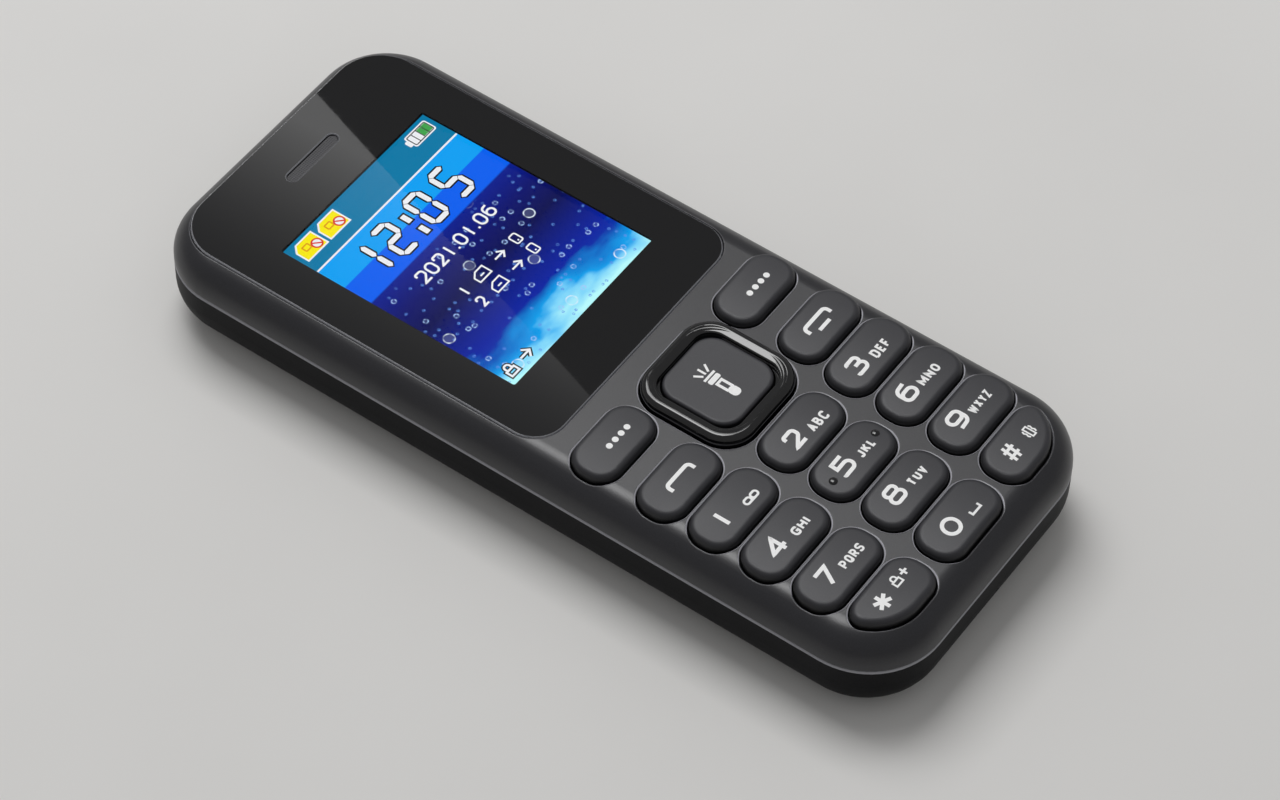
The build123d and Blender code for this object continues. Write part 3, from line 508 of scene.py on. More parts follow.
@dataclass(frozen=True)
class WovenMesh(Finish):
    """Acoustic cloth of monofilament threads. The real one has 0.07 mm threads; it is drawn at
    0.3 mm so that the weave still shows."""

    thread: float = 0.3
    hole: str = "#050506"
    depth: float = 0.05

    def shade(self, nodes: Nodes) -> Node:
        """Two sets of bands at right angles, the higher of them on top."""
        weave = nodes.math("MAXIMUM", *(nodes.bands(axis, self.thread) for axis in "XY"))
        tone = nodes.blend(nodes.spread(weave, 0.0, 1.0, 0.3, 0.8), self.hole, self.colour)
        return self.surface(nodes, tone, nodes.bump(weave, 0.8, self.depth))


@dataclass(frozen=True)
class FoamTape(Finish):
    """Closed-cell polyurethane foam or rubber: small cells that swallow light."""

    cell: float = 0.2
    wall: str = "#2a2a2c"
    depth: float = 0.03

    def shade(self, nodes: Nodes) -> Node:
        """Cells in tone and bump."""
        cells = nodes.cells(self.cell).outputs["Distance"]
        return self.surface(nodes, nodes.blend(cells, self.colour, self.wall),
                            nodes.bump(cells, 0.6, self.depth))


@dataclass(frozen=True)
class PrintedWrap(Finish):
    """Printed polyester film shrunk round a cell: satin, with soft wrinkles, and one paler
    label field with sharp edges."""

    label: str = "#9aa3ad"
    crease: str = "#2f343b"
    wrinkle: Triple = (9.0, 3.0, 2.0)
    depth: float = 0.06
    middle: tuple[float, float] = (0.0, -11.3)
    half: tuple[float, float] = (13.0, 16.0)
    border: float = 0.05

    def shade(self, nodes: Nodes) -> Node:
        """The label field is where both |x| and |y| from the middle are under its half size."""
        place = nodes.place(1.0, (*self.middle, 0.0))
        inside = [nodes.spread(nodes.math("ABSOLUTE", nodes.axis(axis, place)), 1.0, 0.0,
                               half - self.border, half + self.border)
                  for axis, half in zip("XY", self.half)]
        wrinkle = nodes.noise(self.wrinkle, 2.0)
        tone = nodes.blend(wrinkle, self.colour, self.crease)
        tone = nodes.blend(nodes.math("MULTIPLY", *inside), tone, self.label)
        return self.surface(nodes, tone, nodes.bump(wrinkle, 0.5, self.depth))


@dataclass(frozen=True)
class FlexCircuit(Finish):
    """Polyimide film over etched copper: amber, with darker conductors."""

    conductor: str = "#8a4a16"
    pitch: float = 0.5

    def shade(self, nodes: Nodes) -> Node:
        """Bands along Y."""
        share = nodes.spread(nodes.bands("X", self.pitch), 0.0, 1.0, 0.45, 0.55)
        return self.surface(nodes, nodes.blend(share, self.colour, self.conductor))


@dataclass(frozen=True)
class LitPicture(Finish):
    """TFT picture of deep water, lit from behind: three plain bars at the top, water that darkens
    towards its middle, a wavy pale glow along the foot, and bubbles with thin bright rims.

    Bars and water are heights from the picture's middle with their colours, and two bars meet
    within a seam. Each bank of the glow runs from its first height, where it is full, to its
    second, and the swell moves them by its noise. Each kind of bubble has the size of its cells,
    its radius in cells, the random grey under which a cell holds one, and its light. They fade
    out between the two heights of the fade.
    """

    middle: tuple[float, float] = PICTURE_MIDDLE
    half_height: float = 17.5
    bars: tuple = ((4.0, "#0060f0"), (8.0, "#00a0f4"), (12.2, "#0078a6"))
    water: tuple = ((-17.5, "#0a4cc4"), (-11.0, "#0020a0"), (-4.0, "#000650"), (0.0, "#000a6c"),
                    (3.9, "#001a8e"))
    banks: tuple = ((-19.2, -15.2, "#08b2fa"), (-20.8, -18.2, "#b8fcff"))
    swell: float = 8.0
    kinds: tuple = ((1.15, 0.11, 0.30, "#5f90e8"), (2.4, 0.12, 0.36, "#a8c8fa"),
                    (6.4, 0.11, 0.45, "#e4f2ff"))
    fade: tuple[float, float] = (2.0, 3.9)
    seam: float = 0.02

    def shade(self, nodes: Nodes) -> Node:
        """Colour by height on the picture, the glow's wavy banks, bubbles under the bars."""
        height = nodes.axis("Y", nodes.place(1.0, (*self.middle, 0.0)))
        tone = self.layers(nodes, height)
        wave = nodes.noise((8.0, 4.0, 1.0), 3.0, (3.0, 0.0, 0.0))
        bank = nodes.math("MULTIPLY_ADD", wave, -self.swell, height)
        for full, end, light in self.banks:
            tone = nodes.blend(nodes.spread(bank, 1.0, 0.0, full, end), tone, light)
        deep = nodes.spread(height, 1.0, 0.0, *self.fade)
        for pitch, radius, chosen, light in self.kinds:
            lit = nodes.math("MULTIPLY", self.bubbles(nodes, pitch, radius, chosen), deep)
            tone = nodes.blend(lit, tone, light)
        return nodes.add("Emission", {"Color": tone})

    def layers(self, nodes: Nodes, height: NodeSocket) -> NodeSocket:
        """Colour by height: water that changes evenly, then bars with sharp borders.

        Args:
            nodes: the material's nodes.
            height: height from the picture's middle.

        Returns:
            The socket of the colour.
        """
        share = nodes.spread(height, 0.0, 1.0, -self.half_height, self.half_height)
        ramp = nodes.add("ValToRGB", {"Fac": share})
        stops = list(self.water)
        for (at, colour), (after, _) in zip(self.bars, (*self.bars[1:], (self.half_height, ""))):
            stops += [(at, colour), (after - self.seam, colour)]
        elements = ramp.color_ramp.elements
        for at, colour in stops[1:-1]:
            elements.new(at / self.half_height / 2 + 0.5).color = linear(colour)
        elements[0].color, elements[-1].color = linear(stops[0][1]), linear(stops[-1][1])
        return ramp.outputs["Color"]

    def bubbles(self, nodes: Nodes, pitch: float, radius: float, chosen: float) -> NodeSocket:
        """Light of round bubbles, one in some of a pattern's cells: a rim where the distance from
        the cell's middle is close to the radius, brighter along some arcs, and a faint haze inside.

        Args:
            nodes: the material's nodes.
            pitch: size of a cell.
            radius: radius of a bubble in pitches.
            chosen: a cell holds a bubble where its random grey is under this.

        Returns:
            The socket of the light's share.
        """
        cells = nodes.cells(pitch, {"voronoi_dimensions": "2D"})
        away = cells.outputs["Distance"]
        off = nodes.math("ABSOLUTE", nodes.math("SUBTRACT", away, radius))
        rim = nodes.spread(off, 1.0, 0.0, 0.02 / pitch, 0.14 / pitch)
        arcs = nodes.spread(nodes.noise(pitch * radius, 0.0), 0.2, 1.0, 0.35, 0.65)
        haze = nodes.spread(away, 0.07, 0.0, radius - 0.02, radius)
        lit = nodes.math("MAXIMUM", nodes.math("MULTIPLY", rim, arcs), haze)
        return nodes.math("MULTIPLY", lit, nodes.math("LESS_THAN", cells.outputs["Color"], chosen))


@dataclass(frozen=True)
class LitMark(Finish):
    """A mark drawn by the panel: it gives its own light, a little less at its cell borders."""

    cell: float = 0.22
    loss: float = 0.12

    def shade(self, nodes: Nodes) -> Node:
        """One colour with a faint variation between small cells."""
        away = nodes.cells(self.cell).outputs["Distance"]
        share = nodes.spread(away, 0.0, self.loss)
        return nodes.add("Emission", {"Color": nodes.blend(share, self.colour, "#000000")})


@dataclass(frozen=True)
class PaperBoard(Finish):
    """Matte painted board of a studio floor: pale and even, with a very faint roller texture."""

    cloud: float = 60.0
    rolled: str = "#e4e3e1"
    specular: float = 0.2

    def shade(self, nodes: Nodes) -> Node:
        """Faint clouds in tone."""
        tone = nodes.blend(nodes.noise(self.cloud, 4.0), self.colour, self.rolled)
        return self.surface(nodes, tone, settings={"Specular IOR Level": self.specular})


class Look(Enum):
    """Every finish of the phone, by the part of it that wears it."""

    # FRONT and COVER: their light edge colours are partly rubbed wear and partly a painted
    # highlight; their rim colours are a painted highlight on the chamfers, along the seam on the
    # cover
    FRONT = RimHighlightPlastic("abs_soft_touch_front", "#212125", 0.33, rubbed="#404047",
                          edge="#8f8f96", rub=0.22)
    COVER = RimHighlightPlastic("abs_soft_touch_cover", "#09090b", 0.5, rubbed="#3c3c40",
                          edge="#8a8a90", rub=0.2, specular=0.1, rim="#b4b4ba", rim_low=8.6,
                          rim_high=8.89)
    CHASSIS = MouldedPlastic("pc_abs_chassis", "#26262a", 0.5, grain=0.3, depth=0.012,
                             rubbed="#3a3a40")
    # KEYS: the key caps' side walls carry painted shade
    KEYS = KeyCapWithPaintedShade("pc_key_matte_coat", "#333337", 0.46, rubbed="#46464c", depth=0.004,
                  specular=0.36)
    RING = PolishedPlastic("pc_piano_black_ring", "#08080a", 0.05, ior=1.6)
    LEGEND = PrintedInk("pad_printing_ink_white", "#ffffff", 0.5, thin="#f0f0ee")
    LENS = ClearPlastic("pmma_lens_coated", "#ffffff", 0.005, ior=1.24)
    # light grey bevel rings: a painted highlight of the lens's and slot's chamfers
    LENS_BEVEL_HIGHLIGHT = MouldedPlastic("pmma_bevel_painted_highlight", "#909197", 0.3, grain=0.1, depth=0.002,
                                rubbed="#a8a9ae")
    LENS_BORDER = PolishedPlastic("pmma_black_printed_border", "#0c0c0e", 0.01, ior=1.49,
                                  depth=0.0006, haze=0.02)
    NUB = PolishedPlastic("pc_nub_uncoated_black", "#0a0a0c", 0.12, ior=1.58)
    TORCH = ClearPlastic("pmma_torch_window", "#fbfdff", 0.05, ior=1.49)
    PANEL = PolishedPlastic("lcd_glass_black_border", "#050507", 0.12, ior=1.52)
    PICTURE = LitPicture("lcd_lit_picture")
    PIXEL_WHITE = LitMark("lcd_lit_white", "#f4f6fa")
    PIXEL_BLACK = LitMark("lcd_lit_black", "#04060c")
    PIXEL_YELLOW = LitMark("lcd_lit_yellow", "#fff000")
    PIXEL_AMBER = LitMark("lcd_lit_amber", "#e8a00c")
    PIXEL_RED = LitMark("lcd_lit_red", "#e03a2c")
    PIXEL_GREEN = LitMark("lcd_lit_green", "#43a84e")
    STEEL = SheetMetal("steel_tin_plated", "#b9bcc0", 0.36)
    SCREWS = SheetMetal("steel_black_zinc", "#5b5c60", 0.38, dull="#3a3b3f")
    GOLD = SheetMetal("gold_plated_spring", "#d9a441", 0.24, dull="#b07f2c")
    BOARD = SolderMask("fr4_green_solder_mask", "#14502f", 0.32)
    CLOTH = WovenMesh("polyester_acoustic_mesh", "#4c4c50", 0.6)
    TAPE = FoamTape("pu_foam_tape", "#141416", 0.85)
    RUBBER = FoamTape("silicone_rubber_black", "#1e1e20", 0.62, cell=0.35)
    RESIN = MouldedPlastic("lcp_moulded_black", "#17171a", 0.38, grain=0.12, depth=0.003,
                           rubbed="#26262a")
    WRAP = PrintedWrap("pet_battery_wrap", "#3b4048", 0.35)
    WRAP_PRINT = PrintedInk("pet_wrap_print_white", "#d8dade", 0.4)
    FILM = FrostedPlastic("pet_dome_film", "#d9d4c3", 0.4)
    GUIDE = FrostedPlastic("pc_light_guide", "#dfe6e8", 0.3, ior=1.58)
    LAMP = FrostedPlastic("epoxy_lamp_phosphor", "#f2ecc8", 0.25)
    FLEX = FlexCircuit("polyimide_flex", "#b5651d", 0.3)
    BACKDROP = PaperBoard("painted_board_pale", "#eeedeb", 0.9)

    def __init__(self, finish: Finish) -> None:
        """Keeps the finish; its material is made when it is first asked for."""
        self.finish = finish
        self.made: Material | None = None

    @property
    def material(self) -> Material:
        """The Blender material of this look."""
        if self.made is None:
            self.made = self.finish.material()
        return self.made


# ---------------------------------------------------------------- shapes

STEP = 0.12         # longest step along a path
SHORT = 1e-5        # steps and angles under this are left out
TINY = 1e-6         # least length that is divided by
STRAIGHT = 1e-3     # turns under this have no arc
PARALLEL = 1e-9     # edges that face a ray less than this are not met
SHARPEST = 0.55     # a corner is stretched by 1 / this at most
HALF_RUN = 0.4999   # share of a run that one arc may take up


def flat(level: float) -> Level:
    """A level that is the same everywhere, in millimetres."""
    return lambda points: np.full(len(points), level)


def crowned(middle: float, top: float, radius: float) -> Level:
    """The level of a cap that is part of a cylinder along Y:
    top - radius + sqrt(radius² - (x - middle)²).

    Args:
        middle: x of the cap's middle.
        top: level of its highest line.
        radius: radius of the cylinder.

    Returns:
        The level over an array of points.
    """
    return lambda points: top - radius + np.sqrt(radius**2 - (points[:, 0] - middle) ** 2)


def rounded_path(corners: np.ndarray, closed: bool, step: float = STEP) -> np.ndarray:
    """A path of straight runs whose corners are arcs, then cut into even short steps.

    A corner with radius r is left at r * tan(half its turn) before it and met again as far
    after it, with an arc between, or nearer where its two runs are too short for that. The path
    is then sampled at equal lengths, corners kept.

    Args:
        corners: rows of x, y and corner radius.
        closed: whether the last corner joins the first.
        step: longest step between two points.

    Returns:
        Points of the path, one row each.
    """
    count = len(corners)
    runs = []
    for at in range(count):
        here, radius = corners[at, :2], corners[at, 2]
        if (not closed and at in (0, count - 1)) or radius <= 0:
            runs.append(here[None, :])
            continue
        into, out = here - corners[at - 1, :2], corners[(at + 1) % count, :2] - here
        room = HALF_RUN * min(np.linalg.norm(into), np.linalg.norm(out))
        into, out = into / np.linalg.norm(into), out / np.linalg.norm(out)
        turn = math.atan2(into[0] * out[1] - into[1] * out[0], float(into @ out))
        if abs(turn) < STRAIGHT:
            runs.append(here[None, :])
            continue
        back = min(radius * math.tan(abs(turn) / 2), room)
        true_radius = back / math.tan(abs(turn) / 2)
        side = math.copysign(1.0, turn) * np.array([-into[1], into[0]])
        middle = here - into * back + side * true_radius
        shares = max(4, int(abs(turn) * 6), math.ceil(abs(turn) * true_radius / step) + 1)
        angles = np.linspace(0, turn, shares)[:, None]
        arm = -side * true_radius
        turned = np.c_[np.cos(angles) * arm[0] - np.sin(angles) * arm[1],
                       np.sin(angles) * arm[0] + np.cos(angles) * arm[1]]
        runs.append(middle + turned)
    points = np.vstack(runs)
    following = np.roll(points, -1, axis=0) if closed else points[1:]
    starts = points if closed else points[:-1]
    lengths = np.linalg.norm(following - starts, axis=1)
    keep = lengths > SHORT
    counts = [max(2, math.ceil(length / step) + 1) for length in lengths[keep]]
    pieces = [start + (end - start) * np.linspace(0, 1, count)[:-1, None]
              for start, end, count in zip(starts[keep], following[keep], counts)]
    return np.vstack(pieces if closed else [*pieces, points[-1:]])


@dataclass(frozen=True)
class Film:
    """Where a thin part lies: the surface under it, how far its top stands over that surface and
    how far its bottom is under it, in millimetres."""

    level: Level
    lift: float
    depth: float

    def top(self, points: np.ndarray) -> np.ndarray:
        """The points at the level of the film's top."""
        return np.c_[points, self.level(points) + self.lift]

    def bottom(self, points: np.ndarray) -> np.ndarray:
        """The points at the level of the film's bottom."""
        return np.c_[points, self.level(points) - self.depth]

    def raised(self, more: float) -> "Film":
        """The same film with a top that is higher by some millimetres."""
        return replace(self, lift=self.lift + more)


def woven(rows: int, around: int, closed: bool) -> list:
    """Four-sided faces between the rows of a grid of points. Every row closes on itself.

    Args:
        rows: how many rows the grid has.
        around: how many points a row has.
        closed: whether the last row joins the first.

    Returns:
        The faces, row after row.
    """
    here = np.arange(rows * around).reshape(rows, around)
    there = np.roll(here, -1, axis=0)
    quads = np.stack([here, np.roll(here, -1, 1), np.roll(there, -1, 1), there], axis=2)
    return (quads if closed else quads[:-1]).reshape(-1, 4).tolist()


def band(first: np.ndarray, second: np.ndarray, film: Film, closed: bool) -> Part:
    """A flat bar between two lines: a four-sided profile carried along them.

    The profile's corners are the first line's top, the second line's top, then the same two at
    the bottom, so going round it gives faces that point outwards where the first line is on
    the left.

    Args:
        first: the left line's points.
        second: the right line's points, as many.
        film: where the bar lies.
        closed: whether the lines close on themselves.

    Returns:
        The points and the faces.
    """
    corners = [film.top(first), film.top(second), film.bottom(second), film.bottom(first)]
    faces = woven(len(first), 4, closed)
    if not closed:
        end = (len(first) - 1) * 4
        faces += [[3, 2, 1, 0], [end, end + 1, end + 2, end + 3]]
    return np.stack(corners, axis=1).reshape(-1, 3), faces


def stroke(path: np.ndarray, width: float, film: Film, closed: bool = False) -> Part:
    """A bar of one width along a path: its two lines are the path moved half the width to each
    side, along the mean of its neighbouring steps' normals, longer in a corner by 1 / cos of
    half the turn.

    Args:
        path: points of the middle line.
        width: width of the bar.
        film: where the bar lies.
        closed: whether the path closes on itself.

    Returns:
        The points and the faces.
    """
    steps = np.diff(np.vstack([path, path[:1]]) if closed else path, axis=0)
    steps /= np.linalg.norm(steps, axis=1)[:, None]
    normals = np.c_[-steps[:, 1], steps[:, 0]]
    before = np.roll(normals, 1, axis=0) if closed else np.vstack([normals[:1], normals])
    after = normals if closed else np.vstack([normals, normals[-1:]])
    mean = before + after
    mean /= np.maximum(np.linalg.norm(mean, axis=1), TINY)[:, None]
    stretch = 1 / np.maximum((mean * after).sum(axis=1), SHARPEST)
    aside = mean * stretch[:, None] * width / 2
    return band(path + aside, path - aside, film, closed)


def plate(outline: np.ndarray, film: Film) -> Part:
    """A thin plate inside an outline that runs anticlockwise: the outline on top, the same below
    and a wall between.

    Args:
        outline: points of the outline.
        film: where the plate lies.

    Returns:
        The points and the faces.
    """
    count = len(outline)
    around = np.arange(count)
    after = (around + 1) % count
    walls = np.stack([after, around, around + count, after + count], axis=1)
    faces = [around.tolist(), (around[::-1] + count).tolist(), *walls.tolist()]
    return np.vstack([film.top(outline), film.bottom(outline)]), faces


def oblong(x: float, y: float, width: float, length: float, radius: float = 0.0) -> np.ndarray:
    """Corners of a rectangle about (x, y), anticlockwise, as rows of x, y and corner radius."""
    signs = np.array([(-1, -1), (1, -1), (1, 1), (-1, 1)])
    return np.c_[signs * (width / 2, length / 2) + (x, y), np.full(4, radius)]


def reach(outline: np.ndarray, centre: np.ndarray, angles: np.ndarray) -> np.ndarray:
    """Where rays from a centre leave a convex outline.

    Each edge's line is met at (its distance from the centre) / (its normal · the ray), and the
    nearest of these in front of the centre is where the ray leaves.

    Args:
        outline: points of the outline, anticlockwise.
        centre: a point inside it.
        angles: directions of the rays.

    Returns:
        One point for each ray.
    """
    edge = np.roll(outline, -1, axis=0) - outline
    normal = np.c_[edge[:, 1], -edge[:, 0]]
    distance = ((outline - centre) * normal).sum(axis=1)
    rays = np.c_[np.cos(angles), np.sin(angles)]
    facing = rays @ normal.T
    length = np.where(facing > PARALLEL, distance / np.maximum(facing, PARALLEL), np.inf)
    length = length.min(axis=1)
    return centre + rays * length[:, None]


def framed(outer: np.ndarray, inner: np.ndarray, film: Film) -> Part:
    """A thin frame between two convex outlines, both met by the same rays from the inner one's
    middle, so that each ray gives one step of a band.

    Args:
        outer: outline of the frame, anticlockwise.
        inner: outline of its opening, anticlockwise.
        film: where the frame lies.

    Returns:
        The points and the faces.
    """
    centre = inner.mean(axis=0)
    corners = np.vstack([outer, inner]) - centre
    angles = np.sort(np.arctan2(corners[:, 1], corners[:, 0]))
    angles = angles[np.r_[True, np.diff(angles) > SHORT]]
    return band(reach(inner, centre, angles), reach(outer, centre, angles), film, True)


def carried(profile: np.ndarray, path: np.ndarray) -> Part:
    """A closed ring: a profile carried round a closed path that runs anticlockwise.

    Each point of the path moves inwards along its normal by the profile's first column and
    stands at the height of the second. The normal is square to the line between a point's two
    neighbours.

    Args:
        profile: rows of inset and height, anticlockwise with the inset to the right.
        path: points of the path.

    Returns:
        The points and the faces.
    """
    along = np.roll(path, -1, axis=0) - np.roll(path, 1, axis=0)
    inwards = np.c_[-along[:, 1], along[:, 0]] / np.linalg.norm(along, axis=1)[:, None]
    places = path[:, None] + inwards[:, None] * profile[None, :, :1]
    heights = np.broadcast_to(profile[None, :, 1:], (len(path), len(profile), 1))
    points = np.concatenate([places, heights], axis=2).reshape(-1, 3)
    return points, woven(len(path), len(profile), True)


def circles(x: float, y: float, radii: np.ndarray, heights: np.ndarray,
            angles: np.ndarray) -> np.ndarray:
    """Points of level circles about one upright axis, circle after circle.

    Args:
        x: x of the axis.
        y: y of the axis.
        radii: radius of each circle.
        heights: height of each circle.
        angles: where the points stand on every circle.

    Returns:
        The points.
    """
    return np.stack([x + radii[:, None] * np.cos(angles), y + radii[:, None] * np.sin(angles),
                     np.repeat(heights[:, None], len(angles), 1)], axis=2).reshape(-1, 3)


def dome(x: float, y: float, foot: float, rise: float, radius: float) -> Part:
    """A low round button: height foot + rise * sqrt(1 - (r / radius)²) over rings of radius r,
    closed by a round face at the foot.

    Args:
        x: x of its middle.
        y: y of its middle.
        foot: level of its rim.
        rise: height of its middle over the rim.
        radius: radius of the rim.

    Returns:
        The points and the faces.
    """
    around, rings = 32, 8
    angles = np.linspace(0, 2 * math.pi, around, endpoint=False)
    tilt = np.linspace(math.pi / 2, 0, rings, endpoint=False)
    shell = circles(x, y, radius * np.sin(tilt), foot + rise * np.cos(tilt), angles)
    last = (rings - 1) * around + np.arange(around)
    caps = np.c_[last, np.roll(last, -1), np.full(around, len(shell))]
    faces = [np.arange(around)[::-1].tolist(), *woven(rings, around, False), *caps.tolist()]
    return np.vstack([shell, [[x, y, foot + rise]]]), faces


# ---------------------------------------------------------------- objects

def link(name: str, data: bpy.types.ID) -> Object:
    """Makes an object of some data and puts it into the scene."""
    made = bpy.data.objects.new(name, data)
    bpy.context.scene.collection.objects.link(made)
    return made


def make_mesh(name: str, points: np.ndarray, faces: list, material: Material,
              smooth: bool = False) -> Object:
    """Makes a mesh object with one material.

    Args:
        name: its name.
        points: its points in millimetres.
        faces: its faces, as numbers of points.
        material: the material.
        smooth: whether light runs evenly over its faces' joins.

    Returns:
        The new object.
    """
    mesh = bpy.data.meshes.new(name)
    mesh.from_pydata((points * MM).tolist(), [], faces)
    mesh.materials.append(material)
    mesh.polygons.foreach_set("use_smooth", np.full(len(mesh.polygons), smooth))
    mesh.update()
    return link(name, mesh)


def make_piece(name: str, parts: list[Part], look: Look, body: str, smooth: bool = False) -> Object:
    """Joins parts into one mesh object, dresses it and lets it ride on a body.

    Args:
        name: name of the new piece.
        parts: points in millimetres and faces of each part.
        look: the finish.
        body: the CAD body that it moves with.
        smooth: whether light runs evenly over its faces' joins.

    Returns:
        The new object.
    """
    starts = np.cumsum([0] + [len(points) for points, _ in parts]).tolist()
    faces = [[corner + start for corner in face] for (_, some), start in zip(parts, starts)
             for face in some]
    points = np.vstack([points for points, _ in parts])
    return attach(make_mesh(name, points, faces, look.material, smooth), body)


def dress(names: str, look: Look) -> None:
    """Gives CAD nodes a finish.

    Args:
        names: the nodes, with spaces between them.
        look: their finish.
    """
    for name in names.split():
        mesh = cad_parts[name].data
        mesh.materials.clear()
        mesh.materials.append(look.material)


# ---------------------------------------------------------------- signs

SIGNS = {
    "1": ".5,0 .5,1",
    "2": "0,.74 0,1,.45 1,1,.45 1,.54,.25 .02,0 1,0",
    "3": "0,.86 0,1,.3 .94,1,.45 .94,.54,.4 .32,.54|.32,.54 1,.54,.45 1,0,.5 0,0,.35 0,.14",
    "4": ".72,0 .72,1 0,.27 1,.27",
    "5": ".92,1 .08,1 .06,.59 1,.59,.5 1,0,.5 0,0,.35 0,.1",
    "6": ".84,1 0,.95,.9 0,.3|0,0,.5 1,0,.5 1,.6,.5 0,.6,.5 z",
    "7": "0,1 1,1 .3,0",
    "8": "0,0,.5 1,0,.5 1,.54,.5 0,.54,.5 z|.07,.54,.43 .93,.54,.43 .93,1,.43 .07,1,.43 z",
    "9": ".16,0 1,.05,.9 1,.7|0,.4,.5 1,.4,.5 1,1,.5 0,1,.5 z",
    "0": "0,0,.5 1,0,.5 1,1,.5 0,1,.5 z",
    "*": ".5,0 .5,1|.02,.24 .98,.76|.02,.76 .98,.24",
    "#": ".2,0 .36,1|.62,0 .78,1|0,.3 .94,.3|.06,.7 1,.7",
    "+": "0,.5 1,.5|.5,0 .5,1",
    "A": "0,0 .5,1 1,0|.2,.32 .8,.32",
    "B": "0,0 0,1 .86,1,.4 .86,.53,.4 0,.53|0,.53 1,.53,.45 1,0,.45 0,0",
    "C": "1,.78 1,1,.5 0,1,.5 0,0,.5 1,0,.5 1,.22",
    "D": "0,0 0,1 1,1,.6 1,0,.6 0,0",
    "E": "1,1 0,1 0,0 1,0|0,.52 .85,.52",
    "F": "1,1 0,1 0,0|0,.5 .85,.5",
    "G": "1,.78 1,1,.5 0,1,.5 0,0,.5 1,0,.5 1,.46 .55,.46",
    "H": "0,0 0,1|1,0 1,1|0,.52 1,.52",
    "I": ".5,0 .5,1",
    "J": "1,1 1,0,.5 0,0,.5 0,.22",
    "K": "0,0 0,1|1,1 0,.4|.36,.62 1,0",
    "L": "0,1 0,0 1,0",
    "M": "0,0 0,1 .5,.3 1,1 1,0",
    "N": "0,0 0,1 1,0 1,1",
    "O": "0,0,.5 1,0,.5 1,1,.5 0,1,.5 z",
    "P": "0,0 0,1 1,1,.45 1,.45,.45 0,.45",
    "Q": "0,0,.5 1,0,.5 1,1,.5 0,1,.5 z|.55,.28 1.02,-.06",
    "R": "0,0 0,1 1,1,.45 1,.47,.45 0,.47|.5,.47 1,0",
    "S": "1,.8 1,1,.5 0,1,.5 0,.52,.5 1,.5,.5 1,0,.5 0,0,.5 0,.2",
    "T": "0,1 1,1|.5,1 .5,0",
    "U": "0,1 0,0,.5 1,0,.5 1,1",
    "V": "0,1 .5,0 1,1",
    "W": "0,1 .25,0 .5,.85 .75,0 1,1",
    "X": "0,0 1,1|0,1 1,0",
    "Y": "0,1 .5,.48 1,1|.5,.48 .5,0",
    "Z": "0,1 1,1 0,0 1,0",
    "handset": "0,0 0,1,.12 1,1,.12 1,0",
    ".": ".5,0 .5,.16",
    "card": "0,0 1,0 1,1 .38,1 0,.62 z|.36,.4 .68,.4",
    "arrow": "0,.5 1,.5|.58,.95 1,.5 .58,.05",
    "space": "0,1 0,0 1,0 1,1",
    "post": "0,.1,.24 .46,.1,.24 .46,1,.24 0,1,.24 z"
            "|.54,.1,.24 1,.1,.24 1,1,.24 .54,1,.24 z|.2,.1 .8,.1",
    "phone": "0,0,.25 1,0,.25 1,1,.25 0,1,.25 z|.4,.25 .6,.25",
    "padlock": "0,0 1,0 1,.52 0,.52 z|.2,.52 .2,1,.3 .8,1,.3 .8,.52",
    "shaking": ".32,0 .68,0 .68,1 .32,1 z|.14,.1 .06,.3 .14,.5 .06,.7 .14,.9"
               "|.86,.1 .94,.3 .86,.5 .94,.7 .86,.9",
}
NARROW = {".": 0.25, "I": 0.25, "J": 0.8, "L": 0.8, "E": 0.85, "F": 0.85, "M": 1.25, "W": 1.45}


@dataclass(frozen=True)
class Mark:
    """One sign or word: its outer box and the width of its strokes, in millimetres."""

    sign: str
    left: float
    right: float
    low: float
    high: float
    width: float

    STEP: ClassVar[float] = 0.002
    GAP: ClassVar[float] = 0.85

    def parts(self, film: Film) -> list[Part]:
        """Works out the strokes of each sign.

        A sign's strokes are written in shares of the box of its middle lines, from 0 to 1 both
        ways, and corner radii in shares of that box's width. Each stroke of a sign stands one
        STEP over the one before, so that no two faces coincide. The signs of a word are GAP of a
        stroke's width apart.

        Args:
            film: where the mark lies.

        Returns:
            Points and faces of each stroke.
        """
        signs = [self.sign] if self.sign in SIGNS else list(self.sign)
        shares = np.array([NARROW.get(sign, 1.0) for sign in signs])
        gap = self.width * self.GAP
        cells = shares * (self.right - self.left - gap * (len(signs) - 1)) / shares.sum()
        lefts = self.left + np.r_[0, np.cumsum(cells + gap)[:-1]]
        made = []
        for sign, left, cell in zip(signs, lefts, cells):
            size = np.array([max(cell - self.width, 0.0), self.high - self.low - self.width])
            aside = self.width / 2 if size[0] else cell / 2
            corner = np.array([left, self.low]) + (aside, self.width / 2)
            for index, text in enumerate(SIGNS[sign].split("|")):
                words = text.split()
                closed = words[-1] == "z"
                rows = [[float(value) for value in word.split(",")]
                        for word in words[:len(words) - closed]]
                rows = np.array([row + [0.0] * (3 - len(row)) for row in rows])
                corners = np.c_[corner + rows[:, :2] * size, rows[:, 2] * size[0]]
                made.append(stroke(rounded_path(corners, closed), self.width,
                                   film.raised(self.STEP * index), closed))
        return made


@dataclass(frozen=True)
class Spot:
    """A filled round or oblong mark."""

    x: float
    y: float
    width: float
    length: float
    radius: float

    def parts(self, film: Film) -> list[Part]:
        """The spot as one plate with rounded corners, in a list of one."""
        outline = rounded_path(oblong(self.x, self.y, self.width, self.length, self.radius), True)
        return [plate(outline, film)]


def drawn(marks: list[Mark | Spot], film: Film) -> list[Part]:
    """Points and faces of all strokes and spots of some marks that lie on one film."""
    return [part for mark in marks for part in mark.parts(film)]


# ---------------------------------------------------------------- sub-assemblies

